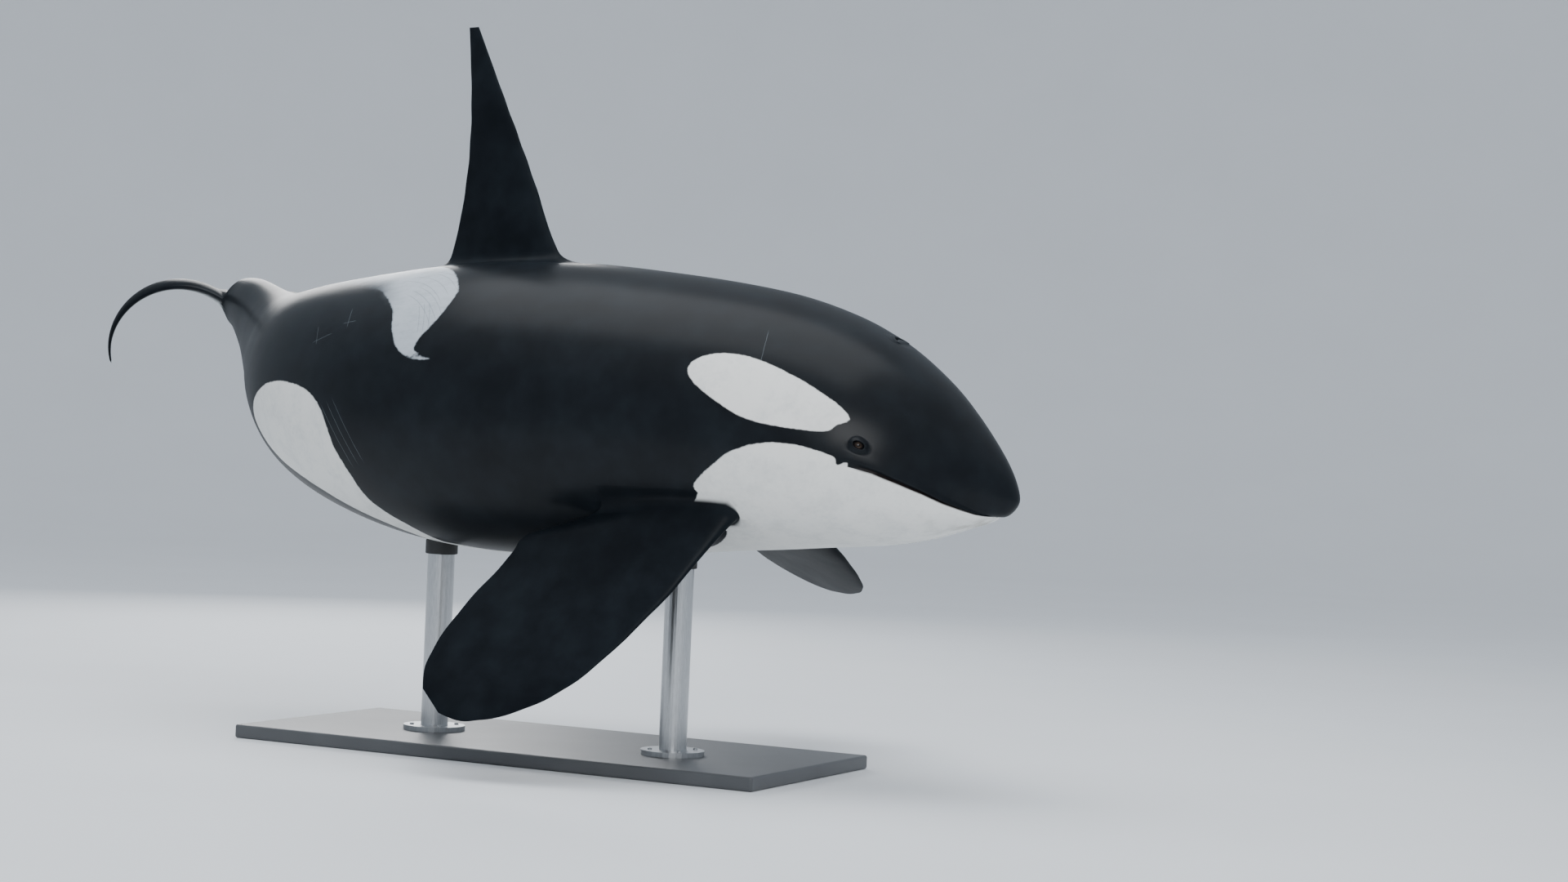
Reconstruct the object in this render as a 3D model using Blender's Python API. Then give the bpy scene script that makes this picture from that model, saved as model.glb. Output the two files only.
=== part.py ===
"""Orca, an adult male at life size, swimming with its tail swung to its left, on a plain display stand.

The hide is worked out as one surface. Rings run from the front of the mouth back to the trailing edge of the
flukes, and columns run from the belly up the left side, over the back and down the right side. The fins, the
eye sockets and the blowhole grow out of rectangular openings between rings and columns. The hide is parted
along rings and columns into the named pieces, which meet face to face across a thin gap.
"""

import bmesh
import bpy
import numpy as np
from mathutils import Matrix

# Driving dimensions in metres and degrees. The nose points along +X, the back along +Z.
BODY_LENGTH = 6.6  # tip of the snout to the notch between the flukes
BODY_HEIGHT = 1.72  # the spine over the floor at the shoulders
BODY_FORWARD = 0.25  # the spine's own zero in front of the middle of the base
BODY_LEFT = -0.11  # the spine's own zero beside the middle of the base
GAP = 0.0003  # between pieces that touch
ZERO_STATION = 0.35  # share of the length at which the spine's own zero lies

# How the spine bends towards the tail: turn to the left and rise, each between two stations.
TURNS = ((35.7, 0.35, 0.75), (6.5, 0.70, 0.96))
RISES = ((10.1, 0.40, 0.72), (10.0, 0.66, 0.86), (-11.2, 0.84, 0.98), (2.6, 0.30, 0.05))

# The trunk before it bends, in shares of the length. Each ring gives how far behind the snout it crosses the
# side, the back and the belly, the heights of the side line, the back and the belly, and the half width.
# In the head the side line is the line of the mouth, and ring 0 is the point where the lips meet in front.
RINGS = np.array((
    (0.0120, 0.0120, 0.0120, -0.0500, -0.0500, -0.0500, 0.0000),
    (0.0150, 0.0035, 0.0160, -0.0497, -0.0480, -0.0532, 0.0135),
    (0.0202, -0.0028, 0.0240, -0.0486, -0.0385, -0.0570, 0.0241),
    (0.0275, 0.0000, 0.0340, -0.0460, -0.0268, -0.0607, 0.0340),
    (0.0370, 0.0085, 0.0450, -0.0423, -0.0120, -0.0650, 0.0445),
    (0.0487, 0.0220, 0.0570, -0.0364, 0.0050, -0.0695, 0.0560),
    (0.0630, 0.0395, 0.0700, -0.0305, 0.0240, -0.0735, 0.0672),
    (0.0790, 0.0600, 0.0840, -0.0243, 0.0430, -0.0768, 0.0776),
    (0.1000, 0.0885, 0.1010, -0.0200, 0.0636, -0.0797, 0.0880),
    (0.1200, 0.1130, 0.1200, -0.0185, 0.0770, -0.0822, 0.0948),
    (0.1420, 0.1400, 0.1420, -0.0160, 0.0880, -0.0848, 0.1000),
    (0.1800, 0.1800, 0.1800, -0.0110, 0.0991, -0.0893, 0.1062),
    (0.2300, 0.2300, 0.2300, -0.0055, 0.1072, -0.0942, 0.1100),
    (0.2900, 0.2900, 0.2900, -0.0010, 0.1140, -0.1005, 0.1120),
    (0.3500, 0.3500, 0.3500, 0.0020, 0.1190, -0.1045, 0.1118),
    (0.4200, 0.4200, 0.4200, 0.0040, 0.1206, -0.1060, 0.1090),
    (0.4900, 0.4900, 0.4900, 0.0045, 0.1155, -0.1015, 0.1030),
    (0.5600, 0.5600, 0.5600, 0.0045, 0.1055, -0.0918, 0.0920),
    (0.6300, 0.6300, 0.6300, 0.0045, 0.0922, -0.0800, 0.0790),
    (0.7000, 0.7000, 0.7000, 0.0045, 0.0760, -0.0648, 0.0590),
    (0.7700, 0.7700, 0.7700, 0.0042, 0.0588, -0.0495, 0.0395),
    (0.8400, 0.8400, 0.8400, 0.0040, 0.0450, -0.0368, 0.0262),
    (0.9000, 0.9000, 0.9000, 0.0035, 0.0335, -0.0265, 0.0219),
    (0.9300, 0.9300, 0.9300, 0.0030, 0.0276, -0.0222, 0.0230),
))
FLUKE_RING = len(RINGS) - 1  # the flukes open out behind this ring

# Where the hide is parted, as rings, and where things grow from it, as rings and degrees round from the back.
MOUTH_END = 8.0
NECK_END = 10.5
CHEST_END = 13.4
TORSO_END = 17.0
TAIL_END = 20.5
EYE_PLACE = (7.0, 8.0, 72, 84)
BLOWHOLE_PLACE = (8.0, 9.0, -10, 10)
DORSAL_PLACE = (14.0, 16.4, -10, 10)
PECTORAL_PLACE = (11.0, 13.0, 119, 145)

# How finely the hide is divided: rings between the marks, and columns down one side.
RING_STEPS = (
    (0.0, 1.0, 2), (1.0, 4.0, 3), (4.0, 7.0, 6), (7.0, 8.0, 3), (8.0, 9.0, 2), (9.0, NECK_END, 3),
    (NECK_END, 11.0, 1), (11.0, 13.0, 6), (13.0, CHEST_END, 1), (CHEST_END, 14.0, 2), (14.0, 16.4, 8),
    (16.4, TORSO_END, 2), (TORSO_END, TAIL_END, 9), (TAIL_END, FLUKE_RING, 6),
    (FLUKE_RING, FLUKE_RING + 0.1, 2), (FLUKE_RING + 0.1, FLUKE_RING + 1.0, 8),
)
COLUMNS = (0, 5, 10, 20, 30, 40, 50, 61, 72, 76, 80, 84, 87, 90,
           93, 97, 101, 110, 119, 125.5, 132, 138.5, 145, 154, 163, 171.5, 180)
MOUTH_COLUMN = COLUMNS.index(90)
NEAR = 1e-6

# The mouth: a groove between the lips, its half width in degrees round the ring.
GROOVE_DEPTH = 0.016
GROOVE_WIDTH = 3.0
LIP_SWELL = 0.004
LIP_WIDTH = 12.0  # degrees from the groove to where the swell of a lip has died away

# Flukes
FLUKE_HALF_SPAN = 1.12
FLUKE_ROOT_HALF = BODY_LENGTH * 0.0230
FLUKE_SWEEP = 0.555  # how far the leading edge runs back from its root to the tip
FLUKE_SHOULDER = 0.16  # how far of that it runs back close to the root, where it leaves the stock in a curve
FLUKE_SHOULDER_SHARE = 0.11  # share of the blade over which it does so
FLUKE_NOTCH = 0.07  # depth of the notch between them
FLUKE_NOTCH_HALF = 0.07
FLUKE_HOLLOW = 0.036  # how far the trailing edge is hollowed between the notch and the tip
FLUKE_RIDGE = 0.10  # half width over which the ridge of the tail stock dies away
FLUKE_ROUND_SHARE = 0.45  # share of the way back over which the stock's round section turns into that ridge
FLUKE_STOCK_FADE = 2.2  # how fast the height of the stock sinks on the way back
FLUKE_THICKNESS = 0.05  # half of it, at the root
FLUKE_LIFT = 24.5  # degrees by which a fluke rises at its root
FLUKE_CURL = 139.0  # degrees by which it has bent down again at the tip
FLUKE_LEAN_HALF = 0.2  # from the middle out to where the blade's thickness leans fully with its slope
FLUKE_LEAN_SHARE = 0.25  # share of the way back over which that lean begins
TAIL_ROLL = (3.5, 0.80, 0.96)  # the tail rolls to raise its right side, between two stations

# Dorsal fin: share of the height, leading edge, trailing edge and half thickness, from the middle of its root
DORSAL_HEIGHT = 1.25
DORSAL = np.array((
    (0.00, 0.320, -0.425, 0.068),
    (0.12, 0.235, -0.375, 0.055),
    (0.30, 0.145, -0.325, 0.043),
    (0.50, 0.035, -0.295, 0.032),
    (0.70, -0.080, -0.290, 0.023),
    (0.85, -0.165, -0.298, 0.016),
    (1.00, -0.250, -0.310, 0.008),
))

# Pectoral fins: the same, from the middle of the root
PECTORAL_LENGTH = 1.46
PECTORAL = np.array((
    (0.00, 0.255, -0.275, 0.075),
    (0.15, 0.305, -0.425, 0.060),
    (0.35, 0.410, -0.450, 0.045),
    (0.55, 0.465, -0.395, 0.033),
    (0.75, 0.415, -0.325, 0.023),
    (0.90, 0.300, -0.230, 0.015),
    (0.97, 0.200, -0.145, 0.011),
    (1.00, 0.110, -0.070, 0.008),
))
PECTORAL_RIGHT = (59.0, 39.5, 0.0)  # swept back, dropped, and twisted about its own length
PECTORAL_LEFT = (21.0, 15.5, 18.0)
FIN_FILLET = 0.07  # how far up its root a fin's fillet reaches
FIN_SQUARE = 0.6  # share of the length by which its sections are square to its span
FIN_FULLNESS = 1.15
FIN_THINNING = 0.35

# Eyes and lids
EYE_RADIUS = 0.034
EYE_SINK = 0.026  # from the hide down to the middle of the eyeball
EYE_OPENING = (0.026, 0.0155)  # half of its length and height
EYE_TILTS = (80.0, 110.0, 150.0)  # the ball's hidden loops, in degrees from its front
LID_LOOPS = ((0.040, 0.027, 0.008), (0.030, 0.019, 0.0125))  # half length, half height, rise over the hide

# Blowhole: a crescent slit with its ends pointing forward, as loops of half width, half length and height
BLOWHOLE_LOOPS = (
    (0.068, 0.036, 0.011),
    (0.054, 0.011, 0.009),
    (0.050, 0.006, -0.002),
    (0.040, 0.004, -0.030),
)
BLOWHOLE_BOW = 11.0  # how far a point of the slit runs forward, for the square of its place to the side
BLOWHOLE_BACK = 0.012

# Display stand
BASE_SIZE = (3.0, 1.3, 0.07)
BASE_EDGE = 0.012
ROD_RADIUS = 0.07
ROD_TOP = BODY_HEIGHT - 0.3  # inside the belly, which shapes the top
FLANGE_RADIUS = 0.16
FLANGE_HEIGHT = 0.025
ROD_STATIONS = (0.27, 0.49)
ROD_SIDES = 32

MERGE = 0.00002
SHARP_ANGLE = 40.0


def clear_scene():
    """Removes what a new file holds, so that the script can be run again."""
    for item in list(bpy.data.objects):
        bpy.data.objects.remove(item)


def ease(value, start, end):
    """Goes smoothly from 0 at start to 1 at end."""
    share = np.clip((value - start) / (end - start), 0.0, 1.0)
    return share * share * (3.0 - 2.0 * share)


def smooth(knots, heights, where):
    """A cubic curve through the knots, its slope at each one taken from the neighbours."""
    slopes = np.gradient(heights, knots, edge_order=2)
    below = np.clip(np.searchsorted(knots, where, side="right") - 1, 0, len(knots) - 2)
    step = knots[below + 1] - knots[below]
    share = (where - knots[below]) / step
    rest = 1.0 - share
    ends = (1.0 + 2.0 * share) * rest**2 * heights[below] + (1.0 + 2.0 * rest) * share**2 * heights[below + 1]
    return ends + step * (share * rest**2 * slopes[below] - share**2 * rest * slopes[below + 1])


def bend(along, left, up):
    """Carries a point from the straight body, along metres behind the snout, into the swimming pose.

    The spine's direction turns and rises by the eased angles of TURNS and RISES, and its place is the running
    sum of that direction.
    """
    marks = np.linspace(-0.02, 1.06, 541)
    turn = sum(np.radians(angle) * ease(marks, start, end) for angle, start, end in TURNS)
    rise = sum(np.radians(angle) * ease(marks, start, end) for angle, start, end in RISES)
    back = np.stack((-np.cos(rise) * np.cos(turn), np.cos(rise) * np.sin(turn), np.sin(rise)), axis=-1)
    side = np.stack((np.sin(turn), np.cos(turn), 0.0 * turn), axis=-1)
    top = np.cross(side, back)
    roll = np.radians(TAIL_ROLL[0]) * ease(marks, TAIL_ROLL[1], TAIL_ROLL[2])[:, None]
    side, top = np.cos(roll) * side - np.sin(roll) * top, np.cos(roll) * top + np.sin(roll) * side
    steps = (back[1:] + back[:-1]) * (marks[1] - marks[0]) * BODY_LENGTH / 2.0
    place = np.concatenate((np.zeros((1, 3)), np.cumsum(steps, axis=0)))
    place -= [np.interp(ZERO_STATION, marks, place[:, axis]) for axis in range(3)]
    place += (BODY_FORWARD, BODY_LEFT, BODY_HEIGHT)
    share = along / BODY_LENGTH
    read = lambda table: np.stack([np.interp(share, marks, table[:, axis]) for axis in range(3)], axis=-1)
    return read(place) + read(side) * left[..., None] + read(top) * up[..., None]


def trunk(ring, angle):
    """The straight trunk: each ring is two half ellipses that meet along the side line, tilted in the head.

    Along the line of the mouth they sink into a groove, with a slight swell above and below it as lips.
    """
    knots = np.arange(len(RINGS), dtype=float)
    values = [smooth(knots, RINGS[:, column], ring) * BODY_LENGTH for column in range(7)]
    side_x, back_x, belly_x, side_z, back_z, belly_z, width = values
    upper = np.cos(angle) > 0.0
    lean = np.cos(angle) ** 2
    along = side_x + np.where(upper, back_x - side_x, belly_x - side_x) * lean
    up = side_z + np.where(upper, back_z - side_z, side_z - belly_z) * np.cos(angle)
    right = width * np.sin(angle)

    off_mouth = np.degrees(np.abs(np.abs(angle) - np.pi / 2.0))
    fade = 1.0 - ease(ring, MOUTH_END - 0.7, MOUTH_END)
    groove = GROOVE_DEPTH * (1.0 - ease(off_mouth, 0.0, GROOVE_WIDTH))
    lips = LIP_SWELL * ease(off_mouth, 0.0, GROOVE_WIDTH) * (1.0 - ease(off_mouth, GROOVE_WIDTH, LIP_WIDTH))
    sink = fade * (groove - lips) * ease(ring, 0.0, 1.0)
    shrink = 1.0 - sink / np.maximum(width, 0.05)
    return along + sink * (1.0 - ease(ring, 1.0, 5.0)), right * shrink, up


def flukes(ring, angle):
    """The straight flukes: rings that widen to the half span, from the leading edge to the trailing one.

    The blade's thickness rises steeply from the leading edge and thins towards the trailing one. The ridge of
    the tail stock runs out over its middle.
    """
    share = np.clip(ring - FLUKE_RING, 0.0, 1.0)
    reach = np.abs(np.sin(angle))
    span = (FLUKE_HALF_SPAN - FLUKE_ROOT_HALF) * share**0.75
    out = FLUKE_ROOT_HALF * reach + span * reach**2
    blade_share = np.clip((out - FLUKE_ROOT_HALF) / (FLUKE_HALF_SPAN - FLUKE_ROOT_HALF), 0.0, 1.0)
    reached = blade_share ** (1.0 / 0.75)
    chord = np.clip((share - reached) / np.maximum(1.0 - reached, 1e-9), 0.0, 1.0)

    root_x, side_z, back_z, belly_z = (RINGS[-1, column] * BODY_LENGTH for column in (0, 3, 4, 5))
    shoulder = FLUKE_SHOULDER * (1.0 - np.exp(-blade_share / FLUKE_SHOULDER_SHARE))
    lead = root_x + shoulder + (FLUKE_SWEEP - FLUKE_SHOULDER) * blade_share**1.5
    trail = BODY_LENGTH + FLUKE_NOTCH * (1.0 - np.exp(-((out / FLUKE_NOTCH_HALF) ** 2)))
    trail = trail - FLUKE_HOLLOW * np.sin(np.pi * blade_share)
    tip = root_x + FLUKE_SWEEP
    trail = trail + (tip - trail) * blade_share**6
    along = lead + chord * (trail - lead)

    thickness = FLUKE_THICKNESS * (1.0 - 0.86 * blade_share) * np.sqrt(chord) * (1.0 - chord) ** 0.8 * 1.75
    ridge = np.exp(-((out / FLUKE_RIDGE) ** 2)) * (1.0 - reach**8)
    rounded = np.sqrt(np.clip(1.0 - (out / FLUKE_ROOT_HALF) ** 2, 0.0, 1.0))
    ridge = ridge + (rounded - ridge) * (1.0 - ease(share, 0.0, FLUKE_ROUND_SHARE))
    upper = np.cos(angle) > 0.0
    stock = np.where(upper, back_z - side_z, side_z - belly_z) * ridge * (1.0 - share) ** FLUKE_STOCK_FADE
    height = np.sqrt(thickness**2 + stock**2) * np.where(upper, 1.0, -1.0)
    height = np.where(share >= 1.0, 0.0, height)
    lift, curl = np.radians(FLUKE_LIFT), np.radians(FLUKE_CURL)
    slope = lift - curl * blade_share
    lean = slope * ease(out, 0.0, FLUKE_LEAN_HALF) * ease(share, 0.0, FLUKE_LEAN_SHARE)
    blade = (FLUKE_HALF_SPAN - FLUKE_ROOT_HALF) / curl
    out = np.minimum(out, FLUKE_ROOT_HALF) + blade * (np.sin(lift) - np.sin(slope)) - height * np.sin(lean)
    up = side_z + blade * (np.cos(slope) - np.cos(lift)) + height * np.cos(lean)
    return along, np.sign(np.sin(angle)) * out, up


def hide(ring, angle):
    """The hide's point on a ring, at an angle in radians round from the back, positive on the right side."""
    ring, angle = np.broadcast_arrays(np.asarray(ring, dtype=float), np.asarray(angle, dtype=float))
    body = trunk(np.minimum(ring, FLUKE_RING), angle)
    tail = flukes(ring, angle)
    along, right, up = (np.where(ring > FLUKE_RING, one, other) for one, other in zip(tail, body))
    return bend(along, -right, up)


def column_angles(ring):
    """The columns' angles from the belly up the left side and down the right, for each ring.

    Towards the flukes the lower columns move to mirror the upper ones, so that both faces of the blade match.
    """
    side = np.array(COLUMNS, dtype=float)
    mirrored = np.concatenate((side[:MOUTH_COLUMN], 180.0 - side[MOUTH_COLUMN::-1]))
    share = ease(np.asarray(ring, dtype=float), TAIL_END - 0.5, FLUKE_RING)[:, None]
    right = side * (1.0 - share) + mirrored * share
    return np.radians(np.concatenate((-right[:, :0:-1], right), axis=1))


def ring_marks(first, last):
    """The rings from first to last, each end moved in by half of the gap."""
    marks = [np.linspace(start, end, count, endpoint=False) for start, end, count in RING_STEPS]
    marks = np.append(np.concatenate(marks), FLUKE_RING + 1.0)
    marks = marks[(marks > first - NEAR) & (marks < last + NEAR)]
    stations = np.append(RINGS[:, 0], 1.0) * BODY_LENGTH
    pace = np.interp(marks, np.arange(len(RINGS)) + 0.5, np.diff(stations))
    if first > 0.0:
        marks[0] += GAP / 2.0 / pace[0]
    if last <= FLUKE_RING:
        marks[-1] -= GAP / 2.0 / pace[-1]
    return marks


def quads(points, mask=None, mirror=None):
    """Splits a grid of points into triangles and returns the corners of each. The mirror flags choose the
    diagonal, so that the two sides of the body, and the two faces of a fin, are split alike."""
    a, b, c, d = points[:-1, :-1], points[:-1, 1:], points[1:, 1:], points[1:, :-1]
    flip = np.zeros(a.shape[:2], dtype=bool) if mirror is None else np.broadcast_to(mirror, a.shape[:2])
    keep = np.ones(a.shape[:2], dtype=bool) if mask is None else ~mask
    one = [np.stack(corners, axis=2) for corners in ((a, b, c), (a, c, d))]
    two = [np.stack(corners, axis=2) for corners in ((a, b, d), (b, c, d))]
    parts = [part[keep & ~flip] for part in one] + [part[keep & flip] for part in two]
    return np.concatenate(parts)


def strip(one, other):
    """Closes the space between two rows of points."""
    return quads(np.stack((one, other)))


def sheet(first, last, openings=()):
    """The hide's grid between two rings, its faces to leave out and to mirror, and each opening's block."""
    rings = ring_marks(first, last)
    angles = column_angles(rings)
    points = hide(rings[:, None], angles)
    middle = (angles[:-1, :-1] + angles[1:, 1:]) / 2.0
    mirror = ((np.sin(middle) > 0.0) == (np.cos(middle) > 0.0)) != (first >= FLUKE_RING)
    mask = np.zeros(mirror.shape, dtype=bool)
    blocks = []
    degrees = np.degrees(angles)
    for start, end, low, high in openings:
        rows = np.flatnonzero((rings > start - NEAR) & (rings < end + NEAR))
        row_angles = degrees[rows[0]]
        columns = np.flatnonzero((row_angles > low - NEAR) & (row_angles < high + NEAR))
        mask[rows[0]:rows[-1], columns[0]:columns[-1]] = True
        blocks.append((slice(rows[0], rows[-1] + 1), slice(columns[0], columns[-1] + 1)))
    return points, mask, mirror, blocks


def edge_loop(points, place):
    """The edge of a block of points as one loop, which starts at the middle of the front."""
    block = points[place]
    rim = np.concatenate((block[0, :-1], block[:-1, -1], block[-1, :0:-1], block[:0:-1, 0]))
    return np.roll(rim, -((block.shape[1] - 1) // 2), axis=0)


def unit(vector):
    """The vector at length 1."""
    return vector / np.linalg.norm(vector)


def close_loop(loops):
    """A stack of loops as a grid whose last column repeats the first, with the diagonals mirrored."""
    grid = np.concatenate((loops, loops[:, :1]), axis=1)
    half = np.arange(grid.shape[1] - 1) < (grid.shape[1] - 1) // 2
    return quads(grid, mirror=half[None, :])


def cap(loop):
    """Closes a loop by a strip between its two halves, which both start at its first point."""
    half = len(loop) // 2
    one = loop[:half + 1]
    other = np.concatenate((loop[:1], loop[:half - 1:-1]))
    return strip(one, other)


def fin(edge, table, length, span, chord, steps):
    """A fin that grows from the edge of an opening.

    Each point of a section lies at a share of the chord, (1 - cos turn) / 2, and its thickness follows
    sin turn, thinned towards the trailing edge. At the root a section lies in the plane of the hide, and up to
    FIN_SQUARE of the length it turns square to the span. The fillet is a curve of second degree from the
    opening's edge, by way of the root, to a section a little way up the fin.
    Returns the triangles of the stub that stays on the body and those of the fin.
    """
    middle = edge.mean(axis=0)
    chord = unit(chord - span * np.dot(chord, span))
    thick = np.cross(span, chord)
    quarter = len(edge) // 4
    if np.dot(edge[quarter] - edge[-quarter], thick) < 0.0:
        thick = -thick
    normal = unit(np.cross(edge[0] - edge[len(edge) // 2], edge[quarter] - edge[-quarter]))
    turn = 2.0 * np.pi * np.arange(len(edge)) / len(edge)
    share = (1.0 - np.cos(turn)) / 2.0
    profile = FIN_FULLNESS * np.sin(turn) * (1.0 - share) ** FIN_THINNING

    def section(height):
        """The fin's section at a height up the span."""
        part = height / length
        lead, trail, half = (smooth(table[:, 0], table[:, column], part) for column in (1, 2, 3))
        flat = np.outer(lead + (trail - lead) * share, chord) + np.outer(half * profile, thick)
        slant = -(flat @ normal) / np.dot(span, normal) * (1.0 - ease(part, 0.0, FIN_SQUARE))
        return middle + flat + np.outer(height + slant, span)

    low = section(FIN_FILLET)
    root = section(0.0)
    stub = [(1.0 - part) ** 2 * edge + 2.0 * part * (1.0 - part) * root + part**2 * low
            for part in np.linspace(0.0, 1.0, 4)]
    stub[-1] = low - span * GAP / 2.0
    heights = FIN_FILLET + (length - FIN_FILLET) * np.sin(np.linspace(0.0, 0.5, steps + 1)[1:] * np.pi)
    blade = np.array([low + span * GAP / 2.0] + [section(height) for height in heights])
    body_part = [close_loop(np.array(stub)), cap(stub[-1])]
    fin_part = [close_loop(blade), cap(blade[0]), cap(blade[-1])]
    return np.concatenate(body_part), np.concatenate(fin_part)


def eye(edge, forward):
    """An eye and the socket it sits in, from the edge of an opening.

    The eyeball and the socket share their directions from the ball's middle, so that they stay a thin gap
    apart. The lids rise round the opening and reach over the ball to an almond edge.
    Returns the triangles of the socket with the lids, and those of the eyeball.
    """
    middle = edge.mean(axis=0)
    quarter = len(edge) // 4
    outward = unit(np.cross(edge[0] - edge[len(edge) // 2], edge[quarter] - edge[-quarter]))
    if outward[1] * (middle[1] - BODY_LEFT) < 0.0:
        outward = -outward
    ahead = unit(forward - outward * np.dot(forward, outward))
    above = np.cross(outward, ahead)
    above = above if above[2] > 0.0 else -above
    turn = np.arctan2((edge - middle) @ above, (edge - middle) @ ahead)

    def flat_loop(long, high, rise):
        """An ellipse round the opening, raised over the hide."""
        point = middle + outward * rise
        return point + np.outer(np.cos(turn) * long, ahead) + np.outer(np.sin(turn) * high, above)

    centre = middle - outward * EYE_SINK
    opening = np.hypot(np.cos(turn) * EYE_OPENING[0], np.sin(turn) * EYE_OPENING[1])
    almond = np.arcsin(opening / EYE_RADIUS)

    def ball(radius, tilt):
        """A loop on the eyeball, tilted from its front."""
        spread = np.outer(np.cos(turn), ahead) + np.outer(np.sin(turn), above)
        return centre + radius * (np.cos(tilt)[:, None] * outward + np.sin(tilt)[:, None] * spread)

    hidden = [np.full(len(turn), np.radians(angle)) for angle in EYE_TILTS]
    socket = [edge] + [flat_loop(*loop) for loop in LID_LOOPS]
    socket = np.array(socket + [ball(EYE_RADIUS + GAP, tilt) for tilt in [almond] + hidden])
    shown = [almond * part for part in (0.2, 0.55, 1.0)]
    ball_loops = np.array([ball(EYE_RADIUS, tilt) for tilt in shown + hidden])
    socket_part = np.concatenate((close_loop(socket), cap(socket[-1])))
    ball_part = np.concatenate((close_loop(ball_loops), cap(ball_loops[0]), cap(ball_loops[-1])))
    return socket_part, ball_part


def blowhole(edge, forward):
    """The blowhole: a low rim, then a crescent slit that narrows as it goes down into the head."""
    middle = edge.mean(axis=0)
    quarter = len(edge) // 4
    outward = unit(np.cross(edge[0] - edge[len(edge) // 2], edge[quarter] - edge[-quarter]))
    outward = outward if outward[2] > 0.0 else -outward
    ahead = unit(forward - outward * np.dot(forward, outward))
    aside = np.cross(outward, ahead)
    turn = np.arctan2((edge - middle) @ aside, (edge - middle) @ ahead)

    def crescent(half, thick, height):
        """A crescent round the opening, raised over the hide."""
        across = np.sin(turn) * half
        ahead_by = np.cos(turn) * thick + BLOWHOLE_BOW * across**2 - BLOWHOLE_BACK
        return middle + outward * height + np.outer(ahead_by, ahead) + np.outer(across, aside)

    loops = np.array([edge] + [crescent(*loop) for loop in BLOWHOLE_LOOPS])
    return np.concatenate((close_loop(loops), cap(loops[-1])))


def material(name, colour, roughness, metallic=0.0):
    """A plain Principled material."""
    made = bpy.data.materials.new(name)
    made.use_nodes = True
    shader = made.node_tree.nodes["Principled BSDF"]
    shader.inputs["Base Color"].default_value = (*colour, 1.0)
    shader.inputs["Roughness"].default_value = roughness
    shader.inputs["Metallic"].default_value = metallic
    return made


def add_piece(name, triangles, look):
    """Makes an object from triangle corners, joined where they share a place, with its faces outward."""
    mesh = bpy.data.meshes.new(name)
    corners = np.concatenate(triangles).reshape(-1, 3)
    faces = np.arange(len(corners)).reshape(-1, 3)
    mesh.from_pydata(corners.tolist(), [], faces.tolist())
    work = bmesh.new()
    work.from_mesh(mesh)
    bmesh.ops.remove_doubles(work, verts=work.verts, dist=MERGE)
    bmesh.ops.dissolve_degenerate(work, edges=work.edges, dist=MERGE)
    bmesh.ops.recalc_face_normals(work, faces=work.faces)
    if work.calc_volume(signed=True) < 0.0:
        bmesh.ops.reverse_faces(work, faces=work.faces)
    work.to_mesh(mesh)
    work.free()
    mesh.shade_smooth()
    mesh.set_sharp_from_angle(angle=np.radians(SHARP_ANGLE))
    mesh.materials.append(look)
    piece = bpy.data.objects.new(name, mesh)
    bpy.context.scene.collection.objects.link(piece)
    return piece


def ring_cap(ring):
    """Closes a ring between its left and right halves."""
    half = len(ring) // 2
    return strip(ring[:half + 1], ring[:half - 1:-1])


def make_head(dark, pale, glass):
    """The head with its lids, lips and blowhole, the lower jaw, and the two eyes."""
    mirrored_eye = (EYE_PLACE[0], EYE_PLACE[1], -EYE_PLACE[3], -EYE_PLACE[2])
    points, mask, mirror, blocks = sheet(0.0, NECK_END, (EYE_PLACE, mirrored_eye, BLOWHOLE_PLACE))
    rings = ring_marks(0.0, NECK_END)
    end = int(np.argmin(np.abs(rings - MOUTH_END)))
    count = points.shape[1] - 1
    left = count // 2 - MOUTH_COLUMN
    right = count // 2 + MOUTH_COLUMN
    up = np.array((0.0, 0.0, GAP / 2.0))
    back = unit(points[-1].mean(axis=0) - points[end].mean(axis=0)) * GAP / 2.0

    below = np.zeros(mask.shape, dtype=bool)
    below[:end, :left] = True
    below[:end, right:] = True
    upper = points.copy()
    upper[:end + 1, left] += up
    upper[:end + 1, right] += up
    upper[end] += back
    palate = strip(upper[:end + 1, left], upper[:end + 1, right])
    step = strip(upper[end, :left + 1], upper[end, :right - 1:-1])
    forward = points[0].mean(axis=0) - points[-1].mean(axis=0)
    eyes = [eye(edge_loop(upper, block), forward) for block in blocks[:2]]
    head = [quads(upper, mask | below, mirror), palate, step, ring_cap(upper[-1])]
    head.append(blowhole(edge_loop(upper, blocks[2]), forward))
    add_piece("head", head + [one[0] for one in eyes], dark)
    add_piece("eye_right", [eyes[0][1]], glass)
    add_piece("eye_left", [eyes[1][1]], glass)

    lower = points.copy()
    lower[:end + 1, left] -= up
    lower[:end + 1, right] -= up
    lower[end] -= back
    floor = strip(lower[:end + 1, left], lower[:end + 1, right])
    rear = strip(lower[end, :left + 1], lower[end, :right - 1:-1])
    jaw = [quads(lower[:end + 1, :left + 1], None, mirror[:end, :left])]
    jaw += [quads(lower[:end + 1, right:], None, mirror[:end, right:]), floor, rear]
    add_piece("lower_jaw", jaw, pale)


def fin_directions(angles, side):
    """The span and chord of a pectoral fin that is swept back, dropped and twisted. side is 1 on the left."""
    sweep, drop, twist = np.radians(angles)
    out = np.array((-np.sin(sweep) * np.cos(drop), side * np.cos(sweep) * np.cos(drop), -np.sin(drop)))
    ahead = np.array((1.0, 0.0, 0.0))
    ahead = unit(ahead - out * np.dot(ahead, out))
    return out, np.cos(twist) * ahead + np.sin(twist) * side * np.cross(out, ahead)


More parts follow.
